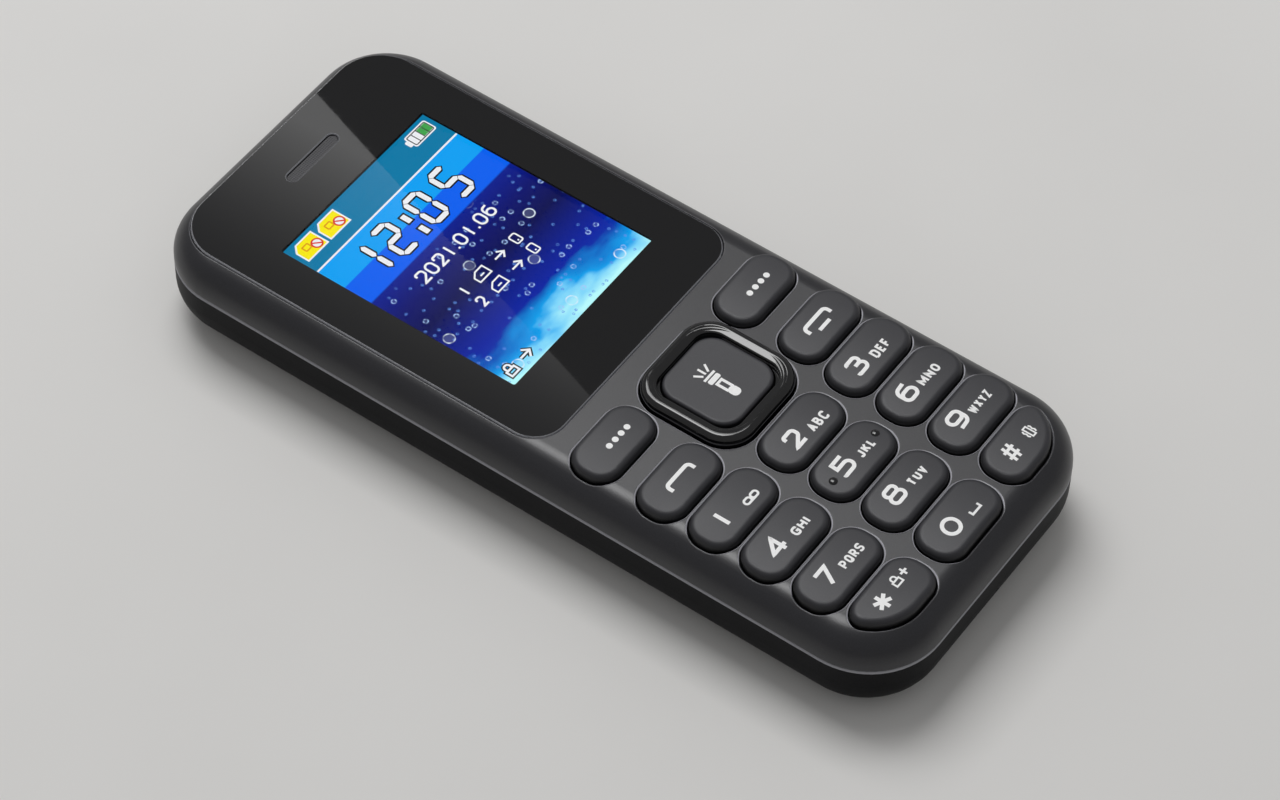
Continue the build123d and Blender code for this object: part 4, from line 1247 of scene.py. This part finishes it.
class Assembly:
    """One group of the phone's pieces: the CAD nodes that it dresses and new pieces over them."""

    WORN: ClassVar[dict[Look, str]] = {}

    def build(self) -> list[Object]:
        """Dresses the nodes and returns the new pieces."""
        for look, names in self.WORN.items():
            dress(names, look)
        return self.pieces()

    def pieces(self) -> list[Object]:
        """Makes the new pieces; a group that is only dressed has none."""
        return []


class Housing(Assembly):
    """Front and rear housings, their cover and the screws."""

    WORN = {Look.FRONT: "front_housing", Look.CHASSIS: "rear_housing", Look.COVER: "rear_cover",
            Look.SCREWS: "housing_screws"}


@dataclass
class ScreenStack(Assembly):
    """Lens, black border print, panel and the lit picture with its clock and signs."""

    lens_top: float = LENS_TOP
    lens_middle: float = 24.55
    lens_width: float = 40.0
    lens_length: float = 56.49
    lens_radii: tuple[float, float] = (4.3, 6.3)
    print_inset: float = 0.2
    print_thickness: float = 0.003
    print_sunk: float = 0.01
    picture_x: float = PICTURE_MIDDLE[0]
    picture_y: float = PICTURE_MIDDLE[1]
    picture_width: float = 28.03
    picture_length: float = 35.03
    window: tuple[float, float, float, float] = (-0.12, 22.36, 28.23, 35.3)
    window_radius: float = 0.3
    slot_y: float = 46.35
    slot_width: float = 9.4
    slot_length: float = 1.6
    slot_print_margin: float = 0.15
    split_y: float = 43.4
    panel_top: float = 12.4
    picture_lift: float = 0.03
    digit_width: float = 2.5
    digit_length: float = 5.1
    digit_stroke: float = 0.72
    digit_gap: float = 0.05
    digit_step: float = 0.0004
    clock_low: float = 5.35
    outline: float = 0.24

    WORN = {Look.LENS: "screen_lens", Look.TAPE: "lens_adhesive lcd_gasket",
            Look.PANEL: "lcd_panel", Look.STEEL: "lcd_frame shield_can", Look.FLEX: "lcd_flex",
            Look.CLOTH: "earpiece_mesh", Look.RESIN: "earpiece_speaker"}
    SEGMENTS = {"1": "bc", "2": "abged", "0": "abcdef", "5": "afgcd"}
    DIGITS = (("1", -10.3), ("2", -5.55), ("0", 0.75), ("5", 5.95))
    CARDS = (-13.35, -8.95)

    def pieces(self) -> list[Object]:
        """Makes the prints and the bevels of the lens, then the picture and its signs."""
        return [self.border(), *self.bevels(), self.picture(), *self.clock(), *self.card_signs(),
                *self.battery_sign(), *self.lines()]

    def lens_outline(self, inset: float, step: float) -> np.ndarray:
        """Outline of the lens drawn in by an inset: a rectangle with larger corners at the top."""
        corners = oblong(0, self.lens_middle, self.lens_width - 2 * inset,
                         self.lens_length - 2 * inset)
        corners[:, 2] = np.repeat(self.lens_radii, 2) - inset
        return rounded_path(corners, True, step)

    def slot_outline(self, margin: float, step: float) -> np.ndarray:
        """Outline of the earpiece slot with a margin round it."""
        width, length = self.slot_width + 2 * margin, self.slot_length + 2 * margin
        return rounded_path(oblong(0, self.slot_y, width, length, length / 2), True, step)

    def border(self) -> Object:
        """Polished black border of the lens, in two frames: one round the picture's window, and
        above it one round the earpiece slot. Each takes its part of the lens's outline, turned to
        start next to the line that splits them."""
        outline = self.lens_outline(self.print_inset, step=2.0)
        film = Film(flat(self.lens_top), self.print_thickness, self.print_sunk)
        window = rounded_path(oblong(*self.window, self.window_radius), True, step=2.0)
        slot = self.slot_outline(self.slot_print_margin, step=0.3)
        half = self.lens_width / 2 - self.print_inset
        split = np.array([[half, self.split_y], [-half, self.split_y]])
        below = outline[outline[:, 1] < self.split_y]
        above = outline[outline[:, 1] > self.split_y]
        left_end = np.argmax(np.where(below[:, 0] < 0, below[:, 1], -np.inf))
        right_end = np.argmin(np.where(above[:, 0] > 0, above[:, 1], np.inf))
        below, above = np.roll(below, -left_end, axis=0), np.roll(above, -right_end, axis=0)
        frames = [framed(np.vstack([below, split]), window, film),
                  framed(np.vstack([split[::-1], above]), slot, film)]
        return make_piece("lens_border_print", frames, Look.LENS_BORDER, "housing")

    def bevels(self) -> list[Object]:
        """Light grey faces on the lens's outer chamfer and on the slot's, as thin rings over them:
        a painted highlight of the chamfers. Their profiles are insets and heights over the lens."""
        rings = (("lens_bevel_highlight", self.lens_outline(0, step=0.6),
                  [[-0.005, -0.205], [0.02, -0.24], [0.25, -0.01], [0.2, 0.006]]),
                 ("slot_bevel_highlight", self.slot_outline(0, step=0.2),
                  [[0.005, -0.155], [-0.15, 0.005], [-0.18, -0.01], [-0.01, -0.19]]))
        return [make_piece(name, [carried(np.array(profile) + (0, self.lens_top), path)],
                           Look.LENS_BEVEL_HIGHLIGHT, "housing") for name, path, profile in rings]

    def lit(self, name: str, parts: list[Part], look: Look) -> Object:
        """Makes one piece of what the panel shows, moved across with the picture's middle.

        Args:
            name: name of the piece.
            parts: points in millimetres from the picture's middle line, and faces, of each part.
            look: the finish.

        Returns:
            The new object.
        """
        moved = [(points + (self.picture_x, 0.0, 0.0), faces) for points, faces in parts]
        return make_piece(name, moved, look, "housing")

    def picture(self) -> Object:
        """The lit area as a thin plate on the panel."""
        outline = oblong(0, self.picture_y, self.picture_width, self.picture_length)[:, :2]
        film = Film(flat(self.panel_top), self.picture_lift, -0.005)
        return self.lit("screen_picture", [plate(outline, film)], Look.PICTURE)

    def layer(self, lift: float) -> Film:
        """Where signs lie on the picture, with their tops at a height over it."""
        return Film(flat(self.panel_top + self.picture_lift), lift, -0.002)

    def segment(self, name: str, left: float, low: float, grow: float) -> np.ndarray:
        """Outline of one segment of a seven-segment digit: a bar with pointed ends.

        Args:
            name: the segment, from a at the top to g in the middle.
            left: left of the digit.
            low: foot of the digit.
            grow: how far the outline is drawn outwards.

        Returns:
            The outline, anticlockwise.
        """
        wide, long, half = self.digit_width, self.digit_length, self.digit_stroke / 2
        runs = {"a": ((0, long), (wide, long)), "b": ((wide, long / 2), (wide, long)),
                "c": ((wide, 0), (wide, long / 2)), "d": ((0, 0), (wide, 0)),
                "e": ((0, 0), (0, long / 2)), "f": ((0, long / 2), (0, long)),
                "g": ((0, long / 2), (wide, long / 2))}
        start, end = (np.array(point, float) for point in runs[name])
        along = (end - start) / np.linalg.norm(end - start)
        across = np.array([-along[1], along[0]]) * (half + grow)
        tip, flank = along * (self.digit_gap - grow), along * (self.digit_gap + half)
        points = np.array([start + tip, start + flank - across, end - flank - across, end - tip,
                           end - flank + across, start + flank + across])
        return points + (left, low)

    def clock(self) -> list[Object]:
        """Segment digits 12:05, white over a black outline. Each segment of a digit stands a
        little over the one before, so that no two faces coincide."""
        low = self.picture_y + self.clock_low
        layers = []
        for name, grow, lift, look in (
                ("screen_clock_outline", self.outline, 0.01, Look.PIXEL_BLACK),
                ("screen_clock", 0.0, 0.02, Look.PIXEL_WHITE)):
            parts = [plate(self.segment(segment, left, low, grow),
                           self.layer(lift + self.digit_step * index))
                     for digit, left in self.DIGITS
                     for index, segment in enumerate(self.SEGMENTS[digit])]
            dots = [Spot(-0.9, low + rise, 0.76 + 2 * grow, 1.45 + 2 * grow, 0.1)
                    for rise in (0.55, 3.35)]
            layers.append(self.lit(name, parts + drawn(dots, self.layer(lift)), look))
        return layers

    def card_signs(self) -> list[Object]:
        """Two yellow cards with a cut corner and a white edge, each with a chip sign and a white
        disc that carries a red ring and a slash."""
        low = self.picture_y + 14.0
        card = np.array([[0.0, 0.0], [4.0, 0.0], [4.0, 3.0], [0.95, 3.0], [0.0, 2.05]])
        face = np.array([[0.22, 0.22], [3.78, 0.22], [3.78, 2.78], [1.05, 2.78], [0.22, 1.95]])
        edges, faces, chips, bars = [], [], [], []
        for left in self.CARDS:
            chip = rounded_path(oblong(left + 1.65, low + 1.65, 1.0, 0.8, 0.1), True)
            disc = left + 2.95, low + 1.1
            ring = rounded_path(oblong(*disc, 1.4, 1.4, 0.7), True)
            slash = np.array([[left + 2.5, low + 1.55], [left + 3.4, low + 0.65]])
            edges += [plate(card + (left, low), self.layer(0.006)),
                      *Spot(*disc, 1.6, 1.6, 0.8).parts(self.layer(0.018))]
            faces.append(plate(face + (left, low), self.layer(0.010)))
            chips.append(stroke(chip, 0.2, self.layer(0.014), True))
            bars += [stroke(ring, 0.22, self.layer(0.022), True),
                     stroke(slash, 0.22, self.layer(0.024))]
        return [self.lit("screen_card_edges", edges, Look.PIXEL_WHITE),
                self.lit("screen_cards", faces, Look.PIXEL_YELLOW),
                self.lit("screen_card_chips", chips, Look.PIXEL_AMBER),
                self.lit("screen_card_bars", bars, Look.PIXEL_RED)]

    def battery_sign(self) -> list[Object]:
        """A lying battery, half of its four cells green."""
        x, y = 11.3, self.picture_y + 15.85
        shell = Spot(x, y, 4.1, 2.2, 0.35).parts(self.layer(0.006))
        shell += Spot(9.05, y, 0.6, 1.1, 0.2).parts(self.layer(0.007))
        outline = rounded_path(oblong(x, y, 3.55, 1.65, 0.2), True)
        lines = [stroke(outline, 0.14, self.layer(0.018), True)]
        lines += [stroke(np.array([[wall, y - 0.75], [wall, y + 0.75]]), 0.13, self.layer(0.017))
                  for wall in (10.4, x, 12.2)]
        cells = drawn([Spot(cell, y, 0.74, 1.4, 0.05) for cell in (11.75, 12.62)],
                      self.layer(0.014))
        return [self.lit("screen_battery_sign", shell, Look.PIXEL_WHITE),
                self.lit("screen_battery_lines", lines, Look.PIXEL_BLACK),
                self.lit("screen_battery_level", cells, Look.PIXEL_GREEN)]

    def lines(self) -> list[Object]:
        """The rule under the top bar, the date, two rows of signs for putting a card into the
        phone, and a padlock with an arrow at the foot, which have black edges."""
        y = self.picture_y
        marks = [Mark("2021.01.06", -7.75, 6.95, y + 0.35, y + 2.45, 0.3)]
        row = (("card", -3.7, -1.3, 0.22), ("arrow", 0.2, 2.2, 0.26), ("phone", 3.9, 5.2, 0.22))
        for digit, low in (("1", y - 4.85), ("2", y - 7.5)):
            marks += [Mark(sign, left, right, low, low + 1.75, width)
                      for sign, left, right, width in ((digit, -6.4, -5.3, 0.28), *row)]
        foot = [("padlock", -13.2, -11.5), ("arrow", -10.4, -8.4)]
        marks += [Mark(sign, left, right, y - 16.7, y - 14.7, 0.3) for sign, left, right in foot]
        edges = [Mark(sign, left - 0.18, right + 0.18, y - 16.88, y - 14.52, 0.66)
                 for sign, left, right in foot]
        rule = stroke(np.array([[-13.98, y + 12.2], [13.98, y + 12.2]]), 0.26, self.layer(0.006))
        return [self.lit("screen_lines", [rule, *drawn(marks, self.layer(0.014))],
                         Look.PIXEL_WHITE),
                self.lit("screen_line_edges", drawn(edges, self.layer(0.006)), Look.PIXEL_BLACK)]


@dataclass
class Keypad(Assembly):
    """Keys with their printed signs, and the mat of domes, film and light guide under them."""

    crown_top: float = 14.66
    crown_radius: float = 60.0
    column: float = 14.13
    upper_column: float = 14.56
    corner_column: float = 13.82
    ink: float = 0.018
    sunk: float = 0.05
    big: float = 0.5
    small: float = 0.3
    dot: float = 0.82
    dot_pitch: float = 1.18
    dot_y: float = -10.2
    nub_spread: float = 4.4
    nub_y: float = -34.2
    nub_radius: float = 0.56
    nub_rise: float = 0.21
    nub_sunk: float = 0.06
    nub_lift: float = 0.005

    WORN = {Look.STEEL: "key_domes", Look.FILM: "dome_film", Look.GUIDE: "light_guide",
            Look.LAMP: "keypad_leds"}

    def dots(self, start: float) -> list[Spot]:
        """Four dots in a row, the first at a given x."""
        return [Spot(start + index * self.dot_pitch, self.dot_y, self.dot, self.dot, self.dot / 2)
                for index in range(4)]

    def key_marks(self) -> dict[str, tuple[float, list]]:
        """Marks of each key, with the x of the key's middle."""
        big, small = self.big, self.small
        return {
            "soft_left": (-self.upper_column, self.dots(-15.7)),
            "soft_right": (self.upper_column, self.dots(13.22)),
            "call": (-self.upper_column, [Mark("handset", -16.96, -12.10, -20.37, -18.79, 0.52)]),
            "end": (self.upper_column, [Mark("handset", 12.06, 16.92, -19.96, -18.39, 0.52),
                                        Spot(14.49, -20.24, 2.14, 0.5, 0.05)]),
            "1": (-self.column, [Mark("1", -16.95, -16.40, -28.27, -25.57, big),
                                 Mark("post", -13.45, -10.78, -28.46, -27.35, small)]),
            "2": (0.0, [Mark("2", -3.12, -0.86, -28.39, -25.74, big),
                        Mark("ABC", 0.21, 3.44, -28.51, -27.13, small)]),
            "3": (self.column, [Mark("3", 10.47, 12.79, -28.17, -25.53, big),
                                Mark("DEF", 13.87, 16.96, -28.29, -26.91, small)]),
            "4": (-self.column, [Mark("4", -17.56, -14.88, -35.54, -32.81, big),
                                 Mark("GHI", -13.61, -10.75, -35.47, -34.18, small)]),
            "5": (0.0, [Mark("5", -3.21, -0.57, -35.28, -32.55, big),
                        Mark("JKL", 0.41, 3.23, -35.21, -33.92, small)]),
            "6": (self.column, [Mark("6", 10.44, 12.95, -35.22, -32.50, big),
                                Mark("MNO", 13.64, 17.31, -35.14, -33.87, small)]),
            "7": (-self.column, [Mark("7", -17.51, -15.14, -42.71, -39.99, big),
                                 Mark("PQRS", -14.2, -10.2, -42.62, -41.36, 0.27)]),
            "8": (0.0, [Mark("8", -3.20, -0.57, -42.42, -39.71, big),
                        Mark("TUV", 0.40, 3.52, -42.33, -41.07, small)]),
            "9": (self.column, [Mark("9", 10.41, 13.01, -42.33, -39.63, big),
                                Mark("WXYZ", 13.6, 17.5, -42.24, -40.99, 0.26)]),
            "star": (-self.corner_column, [Mark("*", -16.85, -14.25, -49.75, -47.15, big),
                                           Mark("padlock", -12.9, -11.45, -48.8, -47.25, 0.24),
                                           Mark("+", -11.2, -9.8, -48.65, -47.25, small)]),
            "0": (0.0, [Mark("0", -3.19, -0.57, -50.27, -47.59, big),
                        Mark("space", 0.89, 2.83, -50.19, -49.29, small)]),
            "hash": (self.corner_column, [Mark("#", 10.28, 12.58, -50.10, -47.30, 0.4),
                                          Mark("shaking", 14.33, 16.15, -49.61, -47.86, 0.22)]),
        }

    def pieces(self) -> list[Object]:
        """Dresses the keys and prints each key's marks on its crown."""
        made = []
        for name, (middle, marks) in self.key_marks().items():
            dress("key_" + name, Look.KEYS)
            film = Film(crowned(middle, self.crown_top, self.crown_radius), self.ink, self.sunk)
            made.append(make_piece("legend_" + name, drawn(marks, film), Look.LEGEND,
                                   "button_" + name))
        return [*made, self.nubs()]

    def nubs(self) -> Object:
        """Glossy tops of the two dots on the middle key, where the coat has worn off. The crown
        is lower there by spread² / (2 * radius)."""
        sink = self.nub_spread**2 / (2 * self.crown_radius)
        foot = self.crown_top - sink + self.nub_lift
        parts = [dome(side * self.nub_spread, self.nub_y, foot - self.nub_sunk,
                      self.nub_rise + self.nub_sunk, self.nub_radius) for side in (-1, 1)]
        return make_piece("key_5_nub_tops", parts, Look.NUB, "button_5", smooth=True)


@dataclass
class NavigationRing(Assembly):
    """Polished rocking ring round the middle key, which carries a printed torch sign."""

    key_top: float = 14.6
    middle: float = -14.753
    size: float = 15.7
    corner: float = 4.35
    crest: float = 14.872
    crest_inset: float = 0.95
    dish_inset: float = 1.7
    dish_slope: float = 0.228
    band: float = 1.97
    step_top: float = 14.0
    x: float = -0.17
    foot: float = -18.05
    ink: float = 0.018
    sunk: float = 0.05

    WORN = {Look.RING: "nav_ring", Look.RUBBER: "nav_seat", Look.KEYS: "select_key"}

    def pieces(self) -> list[Object]:
        """Makes the ring's dished face and prints the torch sign."""
        return [self.dish(), self.torch_sign()]

    def dish(self) -> Object:
        """Polished face that falls from the ring's crest towards the middle key, over its inner
        step: crest - slope * inset from the crest, then a quarter-round lip and a wall down to the
        step."""
        across = np.linspace(self.dish_inset, self.crest_inset + 0.05, 6)
        face = np.c_[across, self.crest - self.dish_slope * (across - self.crest_inset)]
        turn = np.linspace(0, math.pi / 2, 6)[:-1]
        lip_reach = self.band - self.dish_inset
        lip = np.c_[self.dish_inset + lip_reach * np.cos(turn),
                    face[0, 1] - lip_reach * (1 - np.sin(turn))]
        crown = np.array([[0.0, -0.003], [-0.04, -0.008], [-0.09, -0.027]])
        crown += (self.crest_inset, self.crest)
        low = self.step_top - 0.005
        foot = np.array([[self.crest_inset, self.crest - 0.1], [self.dish_inset - 0.4, low],
                         [self.band, low]])
        path = rounded_path(oblong(0, self.middle, self.size, self.size, self.corner), True)
        part = carried(np.vstack([foot, lip, face, crown]), path)
        return make_piece("ring_dished_face", [part], Look.RING, "ring", smooth=True)

    def torch_sign(self) -> Object:
        """Torch with three rays: a handle with a slot, a collar, a rim and the rays."""
        film = Film(flat(self.key_top), self.ink, self.sunk)
        x, foot = self.x, self.foot
        parts = Spot(x, foot + 0.78, 1.34, 1.56, 0.6).parts(film)
        parts += [stroke(np.array([[x + aside, foot + 1.3], [x + aside, foot + 3.0]]), 0.39,
                         film.raised(0.002)) for aside in (-0.475, 0.475)]
        parts += Spot(x, foot + 3.0, 1.34, 0.36, 0.02).parts(film.raised(0.004))
        parts += drawn([Spot(x, foot + 3.72, 1.95, 0.72, 0.24),
                        Spot(x, foot + 4.43, 2.08, 0.34, 0.05)], film)
        for lean in (-1, 0, 1):
            ray = np.array([[x + 0.5 * lean, foot + 4.93],
                            [x + 1.15 * lean, foot + 6.15 - 0.2 * abs(lean)]])
            parts.append(stroke(ray, 0.3, film))
        return make_piece("legend_select", parts, Look.LEGEND, "select")


@dataclass
class BoardParts(Assembly):
    """Main board with the electrical parts that it carries."""

    tongue_top: float = 7.2
    tongue_front: float = 52.0
    usb_x: float = 10.0
    strip_pitch: float = 0.65
    strip_width: float = 0.3
    strip_length: float = 2.6
    strip_inset: float = 1.5
    strip_lift: float = 0.02
    strip_sunk: float = 0.05

    WORN = {Look.BOARD: "main_board",
            Look.RESIN: "battery_connector audio_jack microphone usb_tongue loudspeaker",
            Look.STEEL: "sim_holders memory_card_slot usb_socket vibration_motor motor_weight",
            Look.GOLD: "contact_pins battery_terminals antenna",
            Look.RUBBER: "mic_boot motor_holder", Look.CLOTH: "loudspeaker_mesh",
            Look.LAMP: "torch_led", Look.TORCH: "torch_lens"}

    def pieces(self) -> list[Object]:
        """Makes the contact strips on the charging socket's tongue."""
        film = Film(flat(self.tongue_top), self.strip_lift, self.strip_sunk)
        y = self.tongue_front - self.strip_inset
        strips = [plate(oblong(self.usb_x + self.strip_pitch * index, y, self.strip_width,
                               self.strip_length)[:, :2], film) for index in range(-2, 3)]
        return [make_piece("usb_contact_strips", strips, Look.GOLD, "housing")]


@dataclass
class BatteryBay(Assembly):
    """Removable battery with the printed signs of its terminals."""

    bottom: float = 1.2
    end: float = -37.8
    terminal_pitch: float = 4.0

    WORN = {Look.WRAP: "battery_pack"}

    def pieces(self) -> list[Object]:
        """Prints plus and minus beside the battery's terminals, to read from the back. The minus
        is the plain stroke of I, along Y."""
        marks = [Mark(sign, x - half, x + half, self.end + 2.2, self.end + 3.8, 0.32)
                 for sign, x, half in (("+", -self.terminal_pitch, 0.8),
                                       ("I", self.terminal_pitch, 0.16))]
        parts = drawn(marks, Film(flat(self.bottom), 0.05, 0.012))
        return [make_piece("battery_pole_signs", parts, Look.WRAP_PRINT, "battery")]


@dataclass
class Studio:
    """Pale board floor that curves up into a low wall all round, a soft lamp, and two cards that
    only gloss shows."""

    floor_rings: Triple = (0.5, 200.0, 1400.0)
    wall_radius: float = 350.0
    floor_sunk: float = 0.05
    floor_sides: int = 96
    wall_steps: int = 12
    fill: float = 0.32
    lamp_place: Triple = (265.0, 450.0, 900.0)
    lamp_size: tuple[float, float] = (530.0, 700.0)
    lamp_power: float = 6.0
    lens_top: float = LENS_TOP
    card_height: float = 620.0
    card_shades: tuple[float, float] = (0.4, 2.19)
    card_fade: tuple[float, float] = (-22.5, 4.0)
    strip_box: tuple[float, float, float, float] = (30.0, 280.0, 30.0, 375.0)
    strip_height: float = 890.0
    strip_shade: float = 8.5

    HIDDEN_FROM = ("visible_camera", "visible_diffuse", "visible_transmission", "visible_shadow")

    def build(self, camera: Object) -> None:
        """Makes the floor, the world, the lamp and the cards that lens and ring reflect.

        Args:
            camera: the photograph's camera, which the card's place follows from.
        """
        self.floor()
        self.world()
        self.lamp("top_softbox", self.lamp_place, self.lamp_size, self.lamp_power)
        self.card(camera)
        self.strip()

    def floor(self) -> None:
        """Floor as a surface of revolution: flat to its last ring, then a quarter circle up. The
        points run clockwise, so that its faces look up."""
        angles = np.linspace(0, -2 * math.pi, self.floor_sides, endpoint=False)
        bend = np.linspace(0, math.pi / 2, self.wall_steps)[1:]
        radii = np.r_[self.floor_rings, self.floor_rings[-1] + self.wall_radius * np.sin(bend)]
        rises = np.r_[0.0, 0.0, 0.0, self.wall_radius * (1 - np.cos(bend))] - self.floor_sunk
        faces = [np.arange(len(angles))[::-1].tolist(), *woven(len(radii), len(angles), False)]
        make_mesh("studio_floor", circles(0, 0, radii, rises, angles), faces,
                           Look.BACKDROP.material, smooth=True)

    def world(self) -> None:
        """Even grey surroundings as the fill light."""
        world = bpy.data.worlds.new("studio_surroundings")
        nodes = Nodes(world)
        grey = nodes.add("Background", {"Color": linear("#ffffff"), "Strength": self.fill})
        nodes.add("OutputWorld", {"Surface": grey.outputs[0]})
        bpy.context.scene.world = world

    def lamp(self, name: str, place: Triple, size: tuple[float, float], power: float) -> None:
        """A rectangular softbox that hangs level and shines straight down.

        Args:
            name: name of the lamp.
            place: its middle, in millimetres.
            size: its width and height, in millimetres.
            power: its power in watts.
        """
        light = bpy.data.lights.new(name, "AREA")
        light.shape = "RECTANGLE"
        light.size, light.size_y = (side * MM for side in size)
        light.energy = power
        link(name, light).location = Vector(place) * MM

    def card(self, camera: Object) -> None:
        """A bright card whose straight edge the lens shows as a slanting line.

        A point P of the lens shows what lies on the ray from the camera's mirror image C' in the
        lens plane through P, so a corner of the card is C' + (P - C') * (height of the card over
        C') / (height of the lens over C').

        Args:
            camera: the photograph's camera.
        """
        seen = np.array([[21.4, 90.0], [-32.0, 90.0], [-32.0, -60.0], [-29.4, -60.0],
                         [self.card_fade[0], 0.0], [self.card_fade[1], 0.0]])
        eye = np.array(camera.location) / MM
        eye[2] = 2 * self.lens_top - eye[2]
        lens = np.c_[seen, np.full(len(seen), self.lens_top)]
        places = eye + (lens - eye) * (self.card_height - eye[2]) / (self.lens_top - eye[2])
        fade = places[4:, 0]
        self.hang("reflected_card", places[:4], self.card_material(fade, *self.card_shades))

    def strip(self) -> None:
        """A brighter strip of the softbox, seen only in gloss: the ring's far side shows it."""
        left, right, low, high = self.strip_box
        corners = np.array([[right, high], [left, high], [left, low], [right, low]])
        material = self.card_material(np.array([left, right]), self.strip_shade, self.strip_shade)
        self.hang("reflected_strip", np.c_[corners, np.full(4, self.strip_height)], material)

    def hang(self, name: str, corners: np.ndarray, material: Material) -> None:
        """Hangs a four-cornered card that faces down and shows only in gloss.

        Args:
            name: name of the card.
            corners: its corners in millimetres, anticlockwise from above.
            material: its light.
        """
        card = make_mesh(name, corners, [[3, 2, 1, 0]], material)
        for ray in self.HIDDEN_FROM:
            setattr(card, ray, False)

    def card_material(self, span: np.ndarray, dim: float, bright: float) -> Material:
        """Light that grows across the card: dim + (bright - dim) * share², where the share runs
        from 0 to 1 over a span of X.

        Args:
            span: where the share is 0 and 1, in millimetres.
            dim: strength where the share is 0.
            bright: strength where the share is 1.

        Returns:
            The material.
        """
        made = bpy.data.materials.new("card_cloth_white")
        nodes = Nodes(made)
        share = nodes.spread(nodes.axis("X"), 0.0, 1.0, *(span * MM))
        strength = nodes.spread(nodes.math("POWER", share, 2.0), dim, bright)
        light = nodes.add("Emission", {"Strength": strength})
        nodes.add("OutputMaterial", {"Surface": light.outputs[0]})
        return made


@dataclass
class PhotoCamera:
    """The photograph's camera: its place and axes in the phone's frame."""

    place: Triple = (-0.27102, -0.18916, 0.41520)
    right: Triple = (0.58121511, -0.81359408, 0.01592687)
    up: Triple = (0.6310171, 0.46297135, 0.62247486)
    forward: Triple = (0.51381555, 0.35174166, -0.78247772)
    lens: float = 122.01
    sensor: float = 36.0

    def build(self) -> Object:
        """Makes the camera and sets it as the scene's."""
        data = bpy.data.cameras.new("photo_camera")
        data.lens, data.sensor_width, data.sensor_fit = self.lens, self.sensor, "HORIZONTAL"
        camera = link("photo_camera", data)
        axes = Matrix((self.right, self.up, [-value for value in self.forward])).transposed()
        camera.matrix_world = Matrix.Translation(self.place) @ axes.to_4x4()
        bpy.context.view_layer.update()
        bpy.context.scene.camera = camera
        return camera


def main() -> None:
    """Builds the sub-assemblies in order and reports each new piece."""
    logging.basicConfig(level=logging.INFO, format="%(name)s: %(message)s")
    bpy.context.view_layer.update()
    for kind in (Housing, ScreenStack, Keypad, NavigationRing, BoardParts, BatteryBay):
        for made in kind().build():
            log.info("%s: %s, %d faces", kind.__name__, made.name, len(made.data.polygons))
    camera = PhotoCamera().build()
    Studio().build(camera)
    bpy.context.scene.view_settings.view_transform = "Standard"


if __name__ == "__main__":
    main()
